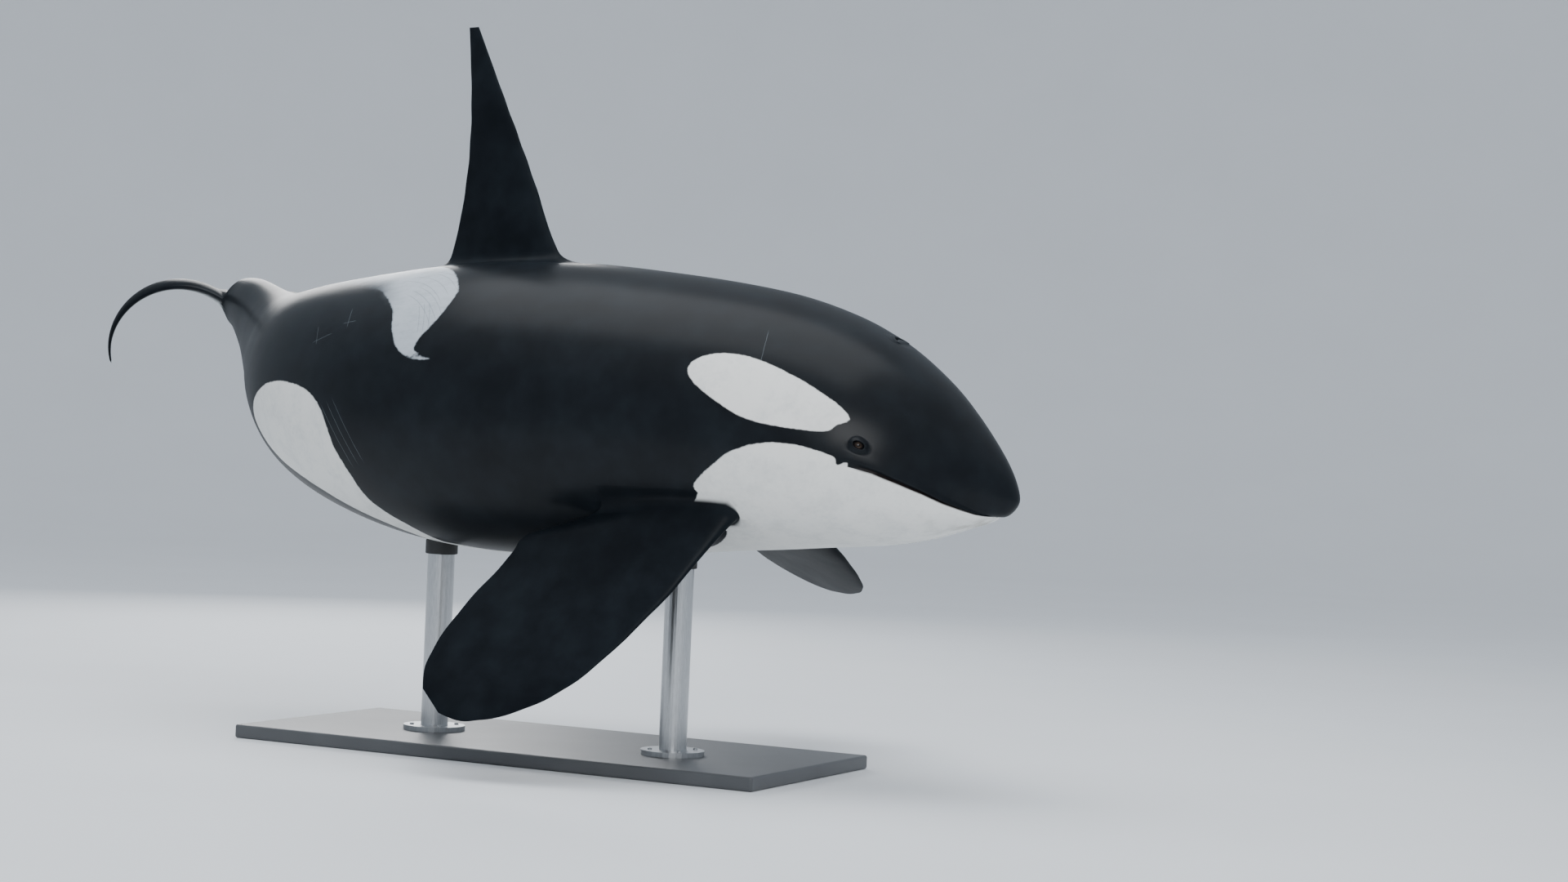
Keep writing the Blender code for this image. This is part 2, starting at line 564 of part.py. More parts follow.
def make_trunk(dark):
    """Chest, torso, tail and tail stock, with the fins that grow from them."""
    mirrored = (PECTORAL_PLACE[0], PECTORAL_PLACE[1], -PECTORAL_PLACE[3], -PECTORAL_PLACE[2])
    points, mask, mirror, blocks = sheet(NECK_END, CHEST_END, (PECTORAL_PLACE, mirrored))
    fins = []
    for block, angles, side in ((blocks[0], PECTORAL_RIGHT, -1.0), (blocks[1], PECTORAL_LEFT, 1.0)):
        span, chord = fin_directions(angles, side)
        fins.append(fin(edge_loop(points, block), PECTORAL, PECTORAL_LENGTH, span, chord, 10))
    ends = [ring_cap(points[0]), ring_cap(points[-1])]
    chest = add_piece("chest", [quads(points, mask, mirror), fins[0][0], fins[1][0]] + ends, dark)
    add_piece("pectoral_right", [fins[0][1]], dark)
    add_piece("pectoral_left", [fins[1][1]], dark)

    points, mask, mirror, blocks = sheet(CHEST_END, TORSO_END, (DORSAL_PLACE,))
    edge = edge_loop(points, blocks[0])
    forward = edge[0] - edge[len(edge) // 2]
    span = unit(np.cross(forward, np.array((0.0, 1.0, 0.0))))
    span = span if span[2] > 0.0 else -span
    stub, blade = fin(edge, DORSAL, DORSAL_HEIGHT, span, forward, 10)
    ends = [ring_cap(points[0]), ring_cap(points[-1])]
    torso = add_piece("torso", [quads(points, mask, mirror), stub] + ends, dark)
    add_piece("dorsal_fin", [blade], dark)

    for name, first, last in (("tail", TORSO_END, TAIL_END), ("tail_stock", TAIL_END, FLUKE_RING)):
        points, mask, mirror, blocks = sheet(first, last)
        add_piece(name, [quads(points, mask, mirror), ring_cap(points[0]), ring_cap(points[-1])], dark)
    return chest, torso


def make_flukes(dark):
    """The two flukes, which meet face to face along the middle of the tail."""
    points, mask, mirror, blocks = sheet(FLUKE_RING, FLUKE_RING + 1.0)
    middle = (points.shape[1] - 1) // 2
    left_of = unit(points[0, middle // 2] - points[0, -middle // 2]) * GAP / 2.0
    sides = (("fluke_left", 0, middle, left_of), ("fluke_right", middle, 2 * middle, -left_of))
    for name, low, high, step in sides:
        half = points[:, low:high + 1].copy()
        half[:, 0] += step
        half[:, -1] += step
        inner = strip(half[:, 0], half[:, -1])
        front = strip(half[0, :MOUTH_COLUMN + 1], half[0, :MOUTH_COLUMN - 1:-1])
        add_piece(name, [quads(half, None, mirror[:, low:high]), inner, front], dark)


def rod_cutter(body):
    """A copy of a body piece grown by the gap, which shapes the top of a rod."""
    cutter = body.copy()
    cutter.data = body.data.copy()
    cutter.name = body.name + "_cutter"
    bpy.context.scene.collection.objects.link(cutter)
    normals = [vertex.normal.copy() for vertex in cutter.data.vertices]
    for vertex, normal in zip(cutter.data.vertices, normals):
        vertex.co += normal * GAP
    cutter.hide_render = True
    cutter.display_type = "WIRE"
    return cutter


def make_stand(bodies, steel, wood):
    """A flat base, and two rods with flanges that stand on it and reach up to the belly."""
    bpy.ops.mesh.primitive_cube_add(size=1.0, location=(0.0, 0.0, BASE_SIZE[2] / 2.0))
    base = bpy.context.object
    base.name = "stand_base"
    base.data.transform(Matrix.Diagonal((*BASE_SIZE, 1.0)))
    bevel = base.modifiers.new("edges", "BEVEL")
    bevel.width = BASE_EDGE
    bevel.segments = 3
    base.data.materials.append(wood)
    for name, station, body in zip(("stand_rod_front", "stand_rod_rear"), ROD_STATIONS, bodies):
        foot = bend(np.array(station * BODY_LENGTH), np.array(0.0), np.array(0.0))
        bottom = BASE_SIZE[2] + GAP
        outline = ((0.0, bottom), (FLANGE_RADIUS, bottom), (FLANGE_RADIUS, bottom + FLANGE_HEIGHT),
                   (ROD_RADIUS, bottom + FLANGE_HEIGHT), (ROD_RADIUS, ROD_TOP), (0.0, ROD_TOP))
        turn = np.linspace(0.0, 2.0 * np.pi, ROD_SIDES + 1)
        turn[-1] = 0.0
        rounds = np.stack((np.cos(turn), np.sin(turn), 0.0 * turn), axis=-1)
        rows = [(foot[0], foot[1], height) + radius * rounds for radius, height in outline]
        rod = add_piece(name, [quads(np.array(rows))], steel)
        cut = rod.modifiers.new("belly", "BOOLEAN")
        cut.operation = "DIFFERENCE"
        cut.solver = "EXACT"
        cut.object = rod_cutter(body)


def build():
    """Makes the materials and every piece."""
    clear_scene()
    dark = material("black_skin", (0.02, 0.025, 0.03), 0.4)
    pale = material("white_skin", (0.75, 0.75, 0.73), 0.45)
    glass = material("eye", (0.02, 0.012, 0.008), 0.1)
    steel = material("brushed_steel", (0.45, 0.46, 0.47), 0.35, 1.0)
    wood = material("painted_base", (0.12, 0.12, 0.125), 0.5)
    make_head(dark, pale, glass)
    bodies = make_trunk(dark)
    make_flukes(dark)
    make_stand(bodies, steel, wood)


build()
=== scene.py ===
"""A life-size model of an adult male orca on a display stand: its looks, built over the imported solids.

One skin, worked out on the same rings and columns as the solids but far finer, stands for every piece of the
body. The eyes, the stand, the floor and the lights follow. Lengths are in metres, angles in degrees.
"""

import bmesh
import bpy
import numpy as np
from mathutils import Matrix, Vector


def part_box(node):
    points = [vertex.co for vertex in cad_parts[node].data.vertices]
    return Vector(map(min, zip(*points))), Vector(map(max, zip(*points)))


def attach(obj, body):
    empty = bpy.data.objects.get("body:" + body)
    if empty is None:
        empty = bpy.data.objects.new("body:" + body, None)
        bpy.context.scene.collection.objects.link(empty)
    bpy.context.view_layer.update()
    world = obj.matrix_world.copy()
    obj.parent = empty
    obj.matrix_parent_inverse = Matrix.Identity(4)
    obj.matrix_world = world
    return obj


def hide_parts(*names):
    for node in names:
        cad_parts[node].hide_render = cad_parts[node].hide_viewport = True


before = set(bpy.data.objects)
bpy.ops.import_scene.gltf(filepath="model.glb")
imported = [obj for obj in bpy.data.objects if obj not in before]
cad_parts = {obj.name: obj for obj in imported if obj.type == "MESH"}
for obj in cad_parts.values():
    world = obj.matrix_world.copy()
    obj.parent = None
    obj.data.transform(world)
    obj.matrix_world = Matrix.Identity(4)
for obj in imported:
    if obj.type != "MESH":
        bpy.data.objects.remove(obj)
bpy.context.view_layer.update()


# The hide. Rings run from the front of the mouth to the trailing edge of the flukes, columns round the body
# from the belly up the left side and down the right. The sizes are those that the solids were made with.

BODY_LENGTH = 6.6
SPINE_ZERO = (0.25, -0.11, 1.72)  # where the spine's own zero lies over the floor
ZERO_STATION = 0.35
SPINE_MARKS = (-0.02, 1.06, 541)
TURNS = ((35.7, 0.35, 0.75), (6.5, 0.70, 0.96))
RISES = ((10.1, 0.40, 0.72), (10.0, 0.66, 0.86), (-11.2, 0.84, 0.98), (2.6, 0.30, 0.05))
TAIL_ROLL = (3.5, 0.80, 0.96)

# Shares of the length: where a ring crosses the side, the back and the belly, the heights of the side line,
# the back and the belly there, and the half width.
RINGS = np.array((
    (0.0120, 0.0120, 0.0120, -0.0500, -0.0500, -0.0500, 0.0000),
    (0.0150, 0.0035, 0.0160, -0.0497, -0.0480, -0.0532, 0.0135),
    (0.0202, -0.0028, 0.0240, -0.0486, -0.0385, -0.0570, 0.0241),
    (0.0275, 0.0000, 0.0340, -0.0460, -0.0268, -0.0607, 0.0340),
    (0.0370, 0.0085, 0.0450, -0.0423, -0.0120, -0.0650, 0.0445),
    (0.0487, 0.0220, 0.0570, -0.0364, 0.0050, -0.0695, 0.0560),
    (0.0630, 0.0395, 0.0700, -0.0305, 0.0240, -0.0735, 0.0672),
    (0.0790, 0.0600, 0.0840, -0.0243, 0.0430, -0.0768, 0.0776),
    (0.1000, 0.0885, 0.1010, -0.0200, 0.0636, -0.0797, 0.0880),
    (0.1200, 0.1130, 0.1200, -0.0185, 0.0770, -0.0822, 0.0948),
    (0.1420, 0.1400, 0.1420, -0.0160, 0.0880, -0.0848, 0.1000),
    (0.1800, 0.1800, 0.1800, -0.0110, 0.0991, -0.0893, 0.1062),
    (0.2300, 0.2300, 0.2300, -0.0055, 0.1072, -0.0942, 0.1100),
    (0.2900, 0.2900, 0.2900, -0.0010, 0.1140, -0.1005, 0.1120),
    (0.3500, 0.3500, 0.3500, 0.0020, 0.1190, -0.1045, 0.1118),
    (0.4200, 0.4200, 0.4200, 0.0040, 0.1206, -0.1060, 0.1090),
    (0.4900, 0.4900, 0.4900, 0.0045, 0.1155, -0.1015, 0.1030),
    (0.5600, 0.5600, 0.5600, 0.0045, 0.1055, -0.0918, 0.0920),
    (0.6300, 0.6300, 0.6300, 0.0045, 0.0922, -0.0800, 0.0790),
    (0.7000, 0.7000, 0.7000, 0.0045, 0.0760, -0.0648, 0.0590),
    (0.7700, 0.7700, 0.7700, 0.0042, 0.0588, -0.0495, 0.0395),
    (0.8400, 0.8400, 0.8400, 0.0040, 0.0450, -0.0368, 0.0262),
    (0.9000, 0.9000, 0.9000, 0.0035, 0.0335, -0.0265, 0.0219),
    (0.9300, 0.9300, 0.9300, 0.0030, 0.0276, -0.0222, 0.0230),
))
FLUKE_RING = len(RINGS) - 1
MOUTH_END = 8.0  # the ring where the mouth's groove has run out
MOUTH_FADE = 0.7
GROOVE_DEPTH = 0.016
GROOVE_WIDTH = 3.0  # degrees round the body
LIP_SWELL = 0.004
LIP_WIDTH = 12.0
LEAST_WIDTH = 0.05
SNOUT_RINGS = (1.0, 5.0)  # between these the groove turns from backward to inward


def ease(value, start, end):
    """Goes smoothly from 0 at start to 1 at end."""
    share = np.clip((value - start) / (end - start), 0.0, 1.0)
    return share * share * (3.0 - 2.0 * share)


def between(share, one, other, leaving, arriving):
    """A cubic curve from one value to the other, by its slopes at both ends."""
    rest = 1.0 - share
    ends = (1.0 + 2.0 * share) * rest**2 * one + (1.0 + 2.0 * rest) * share**2 * other
    return ends + share * rest**2 * leaving - share**2 * rest * arriving


def smooth(knots, heights, where):
    """A cubic curve through the knots, its slope at each one taken from the neighbours."""
    slopes = np.gradient(heights, knots, edge_order=2)
    below = np.clip(np.searchsorted(knots, where, side="right") - 1, 0, len(knots) - 2)
    step = knots[below + 1] - knots[below]
    share = (where - knots[below]) / step
    return between(share, heights[below], heights[below + 1], step * slopes[below], step * slopes[below + 1])


def bend(straight):
    """Carries points (metres behind the snout, left, up) of the straight body into the swimming pose.

    The spine turns and rises by the eased angles of TURNS and RISES, and its place is the running sum of its
    direction.
    """
    marks = np.linspace(*SPINE_MARKS)
    turn = sum(np.radians(angle) * ease(marks, start, end) for angle, start, end in TURNS)
    rise = sum(np.radians(angle) * ease(marks, start, end) for angle, start, end in RISES)
    back = np.stack((-np.cos(rise) * np.cos(turn), np.cos(rise) * np.sin(turn), np.sin(rise)), axis=-1)
    side = np.stack((np.sin(turn), np.cos(turn), 0.0 * turn), axis=-1)
    top = np.cross(side, back)
    roll = np.radians(TAIL_ROLL[0]) * ease(marks, TAIL_ROLL[1], TAIL_ROLL[2])[:, None]
    side, top = np.cos(roll) * side - np.sin(roll) * top, np.cos(roll) * top + np.sin(roll) * side
    steps = (back[1:] + back[:-1]) * (marks[1] - marks[0]) * BODY_LENGTH / 2.0
    place = np.concatenate((np.zeros((1, 3)), np.cumsum(steps, axis=0)))
    place += SPINE_ZERO - np.array([np.interp(ZERO_STATION, marks, place[:, axis]) for axis in range(3)])
    share = straight[..., 0] / BODY_LENGTH

    def read(table):
        """The table's rows at the points' shares of the length."""
        return np.stack([np.interp(share, marks, table[:, axis]) for axis in range(3)], axis=-1)

    return read(place) + read(side) * straight[..., 1:2] + read(top) * straight[..., 2:3]


def trunk(ring, angle):
    """The straight trunk: each ring is two half ellipses that meet along the side line, tilted in the head.

    Along the line of the mouth they sink into a groove, with a slight swell above and below it as lips.
    """
    knots = np.arange(len(RINGS), dtype=float)
    values = [smooth(knots, RINGS[:, column], ring) * BODY_LENGTH for column in range(7)]
    side_x, back_x, belly_x, side_z, back_z, belly_z, width = values
    upper = np.cos(angle) > 0.0
    along = side_x + np.where(upper, back_x - side_x, belly_x - side_x) * np.cos(angle) ** 2
    up = side_z + np.where(upper, back_z - side_z, side_z - belly_z) * np.cos(angle)
    off_mouth = np.degrees(np.abs(np.abs(angle) - np.pi / 2.0))
    fade = (1.0 - ease(ring, MOUTH_END - MOUTH_FADE, MOUTH_END)) * ease(ring, 0.0, 1.0)
    groove = GROOVE_DEPTH * (1.0 - ease(off_mouth, 0.0, GROOVE_WIDTH))
    lips = LIP_SWELL * ease(off_mouth, 0.0, GROOVE_WIDTH) * (1.0 - ease(off_mouth, GROOVE_WIDTH, LIP_WIDTH))
    sink = fade * (groove - lips)
    right = width * np.sin(angle) * (1.0 - sink / np.maximum(width, LEAST_WIDTH))
    return np.stack((along + sink * (1.0 - ease(ring, *SNOUT_RINGS)), -right, up), axis=-1)


FLUKE_HALF_SPAN = 1.12
FLUKE_ROOT_HALF = BODY_LENGTH * 0.0230
FLUKE_WIDENING = 0.75  # power of the way back by which the rings widen
FLUKE_SWEEP = 0.555  # how far the leading edge runs back from its root to the tip
FLUKE_SWEEP_POWER = 1.5
FLUKE_SHOULDER = 0.16  # how far of that it runs back close to the root
FLUKE_SHOULDER_SHARE = 0.11
FLUKE_NOTCH = 0.07  # depth of the notch between the flukes
FLUKE_NOTCH_HALF = 0.07
FLUKE_HOLLOW = 0.036  # how far the trailing edge is hollowed
FLUKE_TIP_POWER = 6  # how late the trailing edge turns to the tip
FLUKE_THICKNESS = 0.05 * 1.75  # half of it at the root, times the fullness of the section
FLUKE_TAPER = 0.86
FLUKE_THINNING = 0.8
FLUKE_RIDGE = 0.10  # half width over which the ridge of the tail stock dies away
FLUKE_RIDGE_POWER = 8
FLUKE_ROUND_SHARE = 0.45  # share of the way back over which the stock's section turns into that ridge
FLUKE_STOCK_FADE = 2.2  # how fast the height of the stock sinks on the way back
FLUKE_LIFT = 24.5  # degrees by which a fluke rises at its root
FLUKE_CURL = 139.0  # degrees by which it has bent down again at the tip
FLUKE_LEAN_HALF = 0.2  # from the middle out to where the thickness leans fully with the slope
FLUKE_LEAN_SHARE = 0.25  # share of the way back over which that lean begins


def flukes(ring, angle):
    """The straight flukes: rings that widen to the half span, from the leading edge to the trailing one.

    The blade's thickness rises steeply from the leading edge and thins towards the trailing one. The ridge
    of the tail stock runs out over its middle, and the blade bends down along an arc towards its tip. The
    second result is where a point lies on the blade: its share of the half span and of the chord.
    """
    share = np.clip(ring - FLUKE_RING, 0.0, 1.0)
    reach = np.abs(np.sin(angle))
    blade_span = FLUKE_HALF_SPAN - FLUKE_ROOT_HALF
    out = FLUKE_ROOT_HALF * reach + blade_span * share**FLUKE_WIDENING * reach**2
    blade_share = np.clip((out - FLUKE_ROOT_HALF) / blade_span, 0.0, 1.0)
    reached = blade_share ** (1.0 / FLUKE_WIDENING)
    chord = np.clip((share - reached) / np.maximum(1.0 - reached, 1e-9), 0.0, 1.0)

    root_x, side_z, back_z, belly_z = (RINGS[-1, column] * BODY_LENGTH for column in (0, 3, 4, 5))
    shoulder = FLUKE_SHOULDER * (1.0 - np.exp(-blade_share / FLUKE_SHOULDER_SHARE))
    lead = root_x + shoulder + (FLUKE_SWEEP - FLUKE_SHOULDER) * blade_share**FLUKE_SWEEP_POWER
    trail = BODY_LENGTH + FLUKE_NOTCH * (1.0 - np.exp(-((out / FLUKE_NOTCH_HALF) ** 2)))
    trail = trail - FLUKE_HOLLOW * np.sin(np.pi * blade_share)
    trail = trail + (root_x + FLUKE_SWEEP - trail) * blade_share**FLUKE_TIP_POWER
    along = lead + chord * (trail - lead)

    thickness = FLUKE_THICKNESS * (1.0 - FLUKE_TAPER * blade_share)
    thickness = thickness * np.sqrt(chord) * (1.0 - chord) ** FLUKE_THINNING
    ridge = np.exp(-((out / FLUKE_RIDGE) ** 2)) * (1.0 - reach**FLUKE_RIDGE_POWER)
    rounded = np.sqrt(np.clip(1.0 - (out / FLUKE_ROOT_HALF) ** 2, 0.0, 1.0))
    ridge = ridge + (rounded - ridge) * (1.0 - ease(share, 0.0, FLUKE_ROUND_SHARE))
    upper = np.cos(angle) > 0.0
    stock = np.where(upper, back_z - side_z, side_z - belly_z) * ridge * (1.0 - share) ** FLUKE_STOCK_FADE
    height = np.sqrt(thickness**2 + stock**2) * np.where(upper, 1.0, -1.0)
    height = np.where(share >= 1.0, 0.0, height)
    lift, curl = np.radians(FLUKE_LIFT), np.radians(FLUKE_CURL)
    slope = lift - curl * blade_share
    lean = slope * ease(out, 0.0, FLUKE_LEAN_HALF) * ease(share, 0.0, FLUKE_LEAN_SHARE)
    radius = blade_span / curl
    out = np.minimum(out, FLUKE_ROOT_HALF) + radius * (np.sin(lift) - np.sin(slope)) - height * np.sin(lean)
    up = side_z + radius * (np.cos(slope) - np.cos(lift)) + height * np.cos(lean)
    points = np.stack((along, -np.sign(np.sin(angle)) * out, up), axis=-1)
    return points, np.stack((blade_share, chord), axis=-1)


# How finely the skin is divided: rings between marks, and columns down one side, above and below the mouth.
RING_STEPS = (
    (0.0, 1.0, 5), (1.0, 4.0, 14), (4.0, 7.0, 32), (7.0, 8.0, 12), (8.0, 9.0, 10), (9.0, 11.0, 20),
    (11.0, 13.0, 30), (13.0, 14.0, 14), (14.0, 16.4, 40), (16.4, 20.5, 52), (20.5, FLUKE_RING, 26),
    (FLUKE_RING, FLUKE_RING + 0.1, 20), (FLUKE_RING + 0.1, FLUKE_RING + 1.0, 36),
)
COLUMN_STEPS = (
    (0.0, 10.0, 10), (10.0, 72.0, 28), (72.0, 84.0, 12), (84.0, 90.0, 8), (90.0, 97.0, 8), (97.0, 119.0, 14),
    (119.0, 145.0, 20), (145.0, 180.0, 16),
)


def steps_to_marks(steps):
    """Evenly spaced marks over each stretch of (start, end, count), and the last end."""
    return np.append(np.concatenate([np.linspace(*step, endpoint=False) for step in steps]), steps[-1][1])


ring_marks = steps_to_marks(RING_STEPS)
side_marks = steps_to_marks(COLUMN_STEPS)
half_count = len(side_marks) // 2
matched = np.concatenate((side_marks[:half_count], 180.0 - side_marks[half_count::-1]))
to_flukes = ease(ring_marks, 20.0, FLUKE_RING)[:, None]
right_columns = side_marks * (1.0 - to_flukes) + matched * to_flukes
ring_angles = np.concatenate((-right_columns[:, :0:-1], right_columns), axis=1)
rings_grid, angles_grid = np.broadcast_arrays(ring_marks[:, None], np.radians(ring_angles))


# The white markings, as outlines on the unrolled hide: shares of the length, and degrees round from the
# back, seen from the line that runs down the body at the height of the mouth.

THROAT = (
    (-0.030, 88.0), (0.050, 88.0), (0.0900, 88.4), (0.0980, 90.2), (0.1012, 90.8), (0.1023, 87.9),
    (0.108, 86.7), (0.127, 85.2), (0.1435, 86.1), (0.1586, 88.5), (0.1755, 93.0), (0.1906, 99.8),
    (0.2050, 107.5), (0.2085, 111.0), (0.2020, 117.0), (0.1957, 123.6), (0.1945, 131.0), (0.204, 144.0),
    (0.230, 160.0), (0.280, 168.0), (0.350, 171.0), (0.420, 170.0), (0.460, 166.0), (0.500, 169.0),
    (0.560, 170.0), (0.640, 173.0), (0.720, 178.0), (0.740, 200.0), (-0.030, 200.0),
)
EYE_PATCH = (
    (0.0968, 68.5), (0.1076, 63.4), (0.1248, 59.6), (0.1452, 56.7), (0.1670, 54.9), (0.1872, 55.1),
    (0.2007, 56.8), (0.2125, 60.3), (0.2175, 65.0), (0.2125, 69.2), (0.2024, 72.4), (0.1889, 76.0),
    (0.1738, 78.9), (0.1569, 79.8), (0.1367, 79.3), (0.1181, 77.8), (0.1085, 76.2), (0.1045, 73.2),
)
SADDLE = (
    (0.500, -20.0), (0.499, 0.0), (0.4936, 9.1), (0.4616, 19.8), (0.4364, 32.9), (0.4296, 42.0),
    (0.4347, 53.5), (0.4431, 62.0), (0.4450, 67.5), (0.4296, 70.9), (0.4482, 70.3), (0.4616, 66.0),
    (0.4700, 59.0), (0.4835, 46.2), (0.5150, 34.0), (0.565, 27.0), (0.630, 20.0), (0.690, 12.0),
    (0.715, 0.0), (0.715, -20.0),
)
FLANK = (
    (0.459, 173.0), (0.465, 163.0), (0.4755, 151.5), (0.4970, 137.5), (0.5054, 123.4), (0.5138, 112.3),
    (0.5205, 101.6), (0.5306, 92.4), (0.5492, 86.4), (0.5778, 84.7), (0.6013, 86.9), (0.6215, 92.7),
    (0.6400, 102.5), (0.6470, 113.5), (0.6330, 124.0), (0.6081, 133.0), (0.5694, 139.5), (0.5441, 145.0),
    (0.520, 150.5), (0.498, 156.5), (0.483, 164.0), (0.476, 175.0),
)
GIRTH_RADIUS = 0.72  # metres of hide for each radian round the body


def unrolled(straight):
    """Where a point lies on the unrolled hide, in metres: along the body, and round from the back."""
    centre = np.interp(straight[..., 0] / BODY_LENGTH, RINGS[:, 0], RINGS[:, 3]) * BODY_LENGTH
    round_from_back = np.arctan2(np.abs(straight[..., 1]), straight[..., 2] - centre)
    return np.stack((straight[..., 0], round_from_back * GIRTH_RADIUS), axis=-1)


def inside_by(places, outline, corner_steps=6):
    """How far each place lies inside a smooth closed outline, below zero where it lies outside.

    The outline is a closed cubic through its points, cut into short straight runs. The distance is the least
    one to any run, and its sign comes from the number of runs crossed on the way along the body.
    """
    knots = np.array(outline) * (BODY_LENGTH, np.radians(GIRTH_RADIUS))
    before, after, beyond = np.roll(knots, 1, axis=0), np.roll(knots, -1, axis=0), np.roll(knots, -2, axis=0)
    part = (np.arange(corner_steps) / corner_steps)[:, None, None]
    linear = after - before
    square = 2.0 * before - 5.0 * knots + 4.0 * after - beyond
    cubic = 3.0 * knots - before - 3.0 * after + beyond
    curve = (2.0 * knots + linear * part + square * part**2 + cubic * part**3) / 2.0
    start = curve.transpose(1, 0, 2).reshape(-1, 2)
    run = np.roll(start, -1, axis=0) - start
    flat = places.reshape(-1, 2)
    near = np.full(len(flat), np.inf)
    crossed = np.zeros(len(flat), dtype=bool)
    for (x, y), (step_x, step_y) in zip(start, run):
        off_x, off_y = flat[:, 0] - x, flat[:, 1] - y
        share = np.clip((off_x * step_x + off_y * step_y) / max(step_x**2 + step_y**2, 1e-12), 0.0, 1.0)
        near = np.minimum(near, np.hypot(off_x - share * step_x, off_y - share * step_y))
        if step_y != 0.0:
            passes = (off_y >= 0.0) != (off_y - step_y >= 0.0)
            crossed ^= passes & (off_x < off_y / step_y * step_x)
    return np.where(crossed, near, -near).reshape(places.shape[:-1])


MARK_NAMES = ("throat", "eye_patch", "saddle", "flank", "pale_blade", "along", "round", "on_fin")
PALE_CHORD = 0.42  # metres that a whole chord counts for, from the leading edge
PALE_TRAIL = 0.40  # the same from the trailing edge
PALE_REACH = 0.93  # share of the half span where the pale underside of a fluke ends
PALE_SPAN = 0.5  # metres that the half span counts for
PALE_RIM = 0.04  # width of the dark rim round the pale underside
NOT_PALE = -0.2
BLADE_FADE = 0.4  # share of the flukes' rings over which the body's markings give way


def hide(ring, angle):
    """The hide's points in the swimming pose, and their marks, at rings and angles."""
    blade, blade_place = flukes(ring, angle)
    on_blade = ring > FLUKE_RING
    straight = np.where(on_blade[..., None], blade, trunk(np.minimum(ring, FLUKE_RING), angle))
    places = unrolled(straight)
    reach, chord = blade_place[..., 0], blade_place[..., 1]
    rim = np.minimum(chord * PALE_CHORD, (1.0 - chord) * PALE_TRAIL)
    rim = np.minimum(rim, (PALE_REACH - reach) * PALE_SPAN)
    pale_blade = np.where(on_blade & (np.cos(angle) < 0.0), rim - PALE_RIM, NOT_PALE)
    side = np.where(straight[..., 1] > 0.0, 1.0, -1.0)
    on_fin = np.where(on_blade, ease(ring - FLUKE_RING, 0.0, BLADE_FADE), 0.0)
    outlines = [inside_by(places, outline) for outline in (THROAT, EYE_PATCH, SADDLE, FLANK)]
    marks = outlines + [pale_blade, places[..., 0], places[..., 1] * side, on_fin]
    return bend(straight), np.stack(marks, axis=-1)


hide_points, hide_marks = hide(rings_grid, angles_grid)


# The fins, lids and blowhole grow out of openings in the hide, each opening a block of rings and degrees.

PECTORAL_PLACE = (11.0, 13.0, 119.0, 145.0)
DORSAL_PLACE = (14.0, 16.4, -10.0, 10.0)
EYE_PLACE = (7.0, 8.0, 72.0, 84.0)
BLOWHOLE_PLACE = (8.0, 9.0, -10.0, 10.0)


def opening(place):
    """The block of the hide's grid at a place, as two slices."""
    near = 1e-6
    rows = np.flatnonzero((ring_marks > place[0] - near) & (ring_marks < place[1] + near))
    degrees = ring_angles[rows[0]]
    columns = np.flatnonzero((degrees > place[2] - near) & (degrees < place[3] + near))
    return slice(rows[0], rows[-1] + 1), slice(columns[0], columns[-1] + 1)


def mirrored(place):
    """The same place on the other side."""
    return place[0], place[1], -place[3], -place[2]


def edge_loop(values, block):
    """The edge of a block of the grid as one loop, which starts at the middle of the front."""
    inner = values[block]
    rim = np.concatenate((inner[0, :-1], inner[:-1, -1], inner[-1, :0:-1], inner[:0:-1, 0]))
    return np.roll(rim, -((inner.shape[1] - 1) // 2), axis=0)


def inward_loops(block, scales):
    """Points and marks of loops on the hide that shrink from an opening's edge towards a rounder shape.

    A scale of 1 is the edge itself. At 0.8 and below a loop is an ellipse in rings and degrees.
    """
    edge = edge_loop(np.stack((rings_grid, angles_grid), axis=-1), block)
    centre = (edge.max(axis=0) + edge.min(axis=0)) / 2.0
    half = (edge.max(axis=0) - edge.min(axis=0)) / 2.0
    square = (edge - centre) / half
    oval = square / np.linalg.norm(square, axis=1, keepdims=True)
    rounder = ease(1.0 - np.array(scales), 0.0, 0.2)[:, None, None]
    loops = centre + half * np.array(scales)[:, None, None] * (square + (oval - square) * rounder)
    return hide(loops[..., 0], loops[..., 1])


JOINED = 0.00002  # points closer than this become one


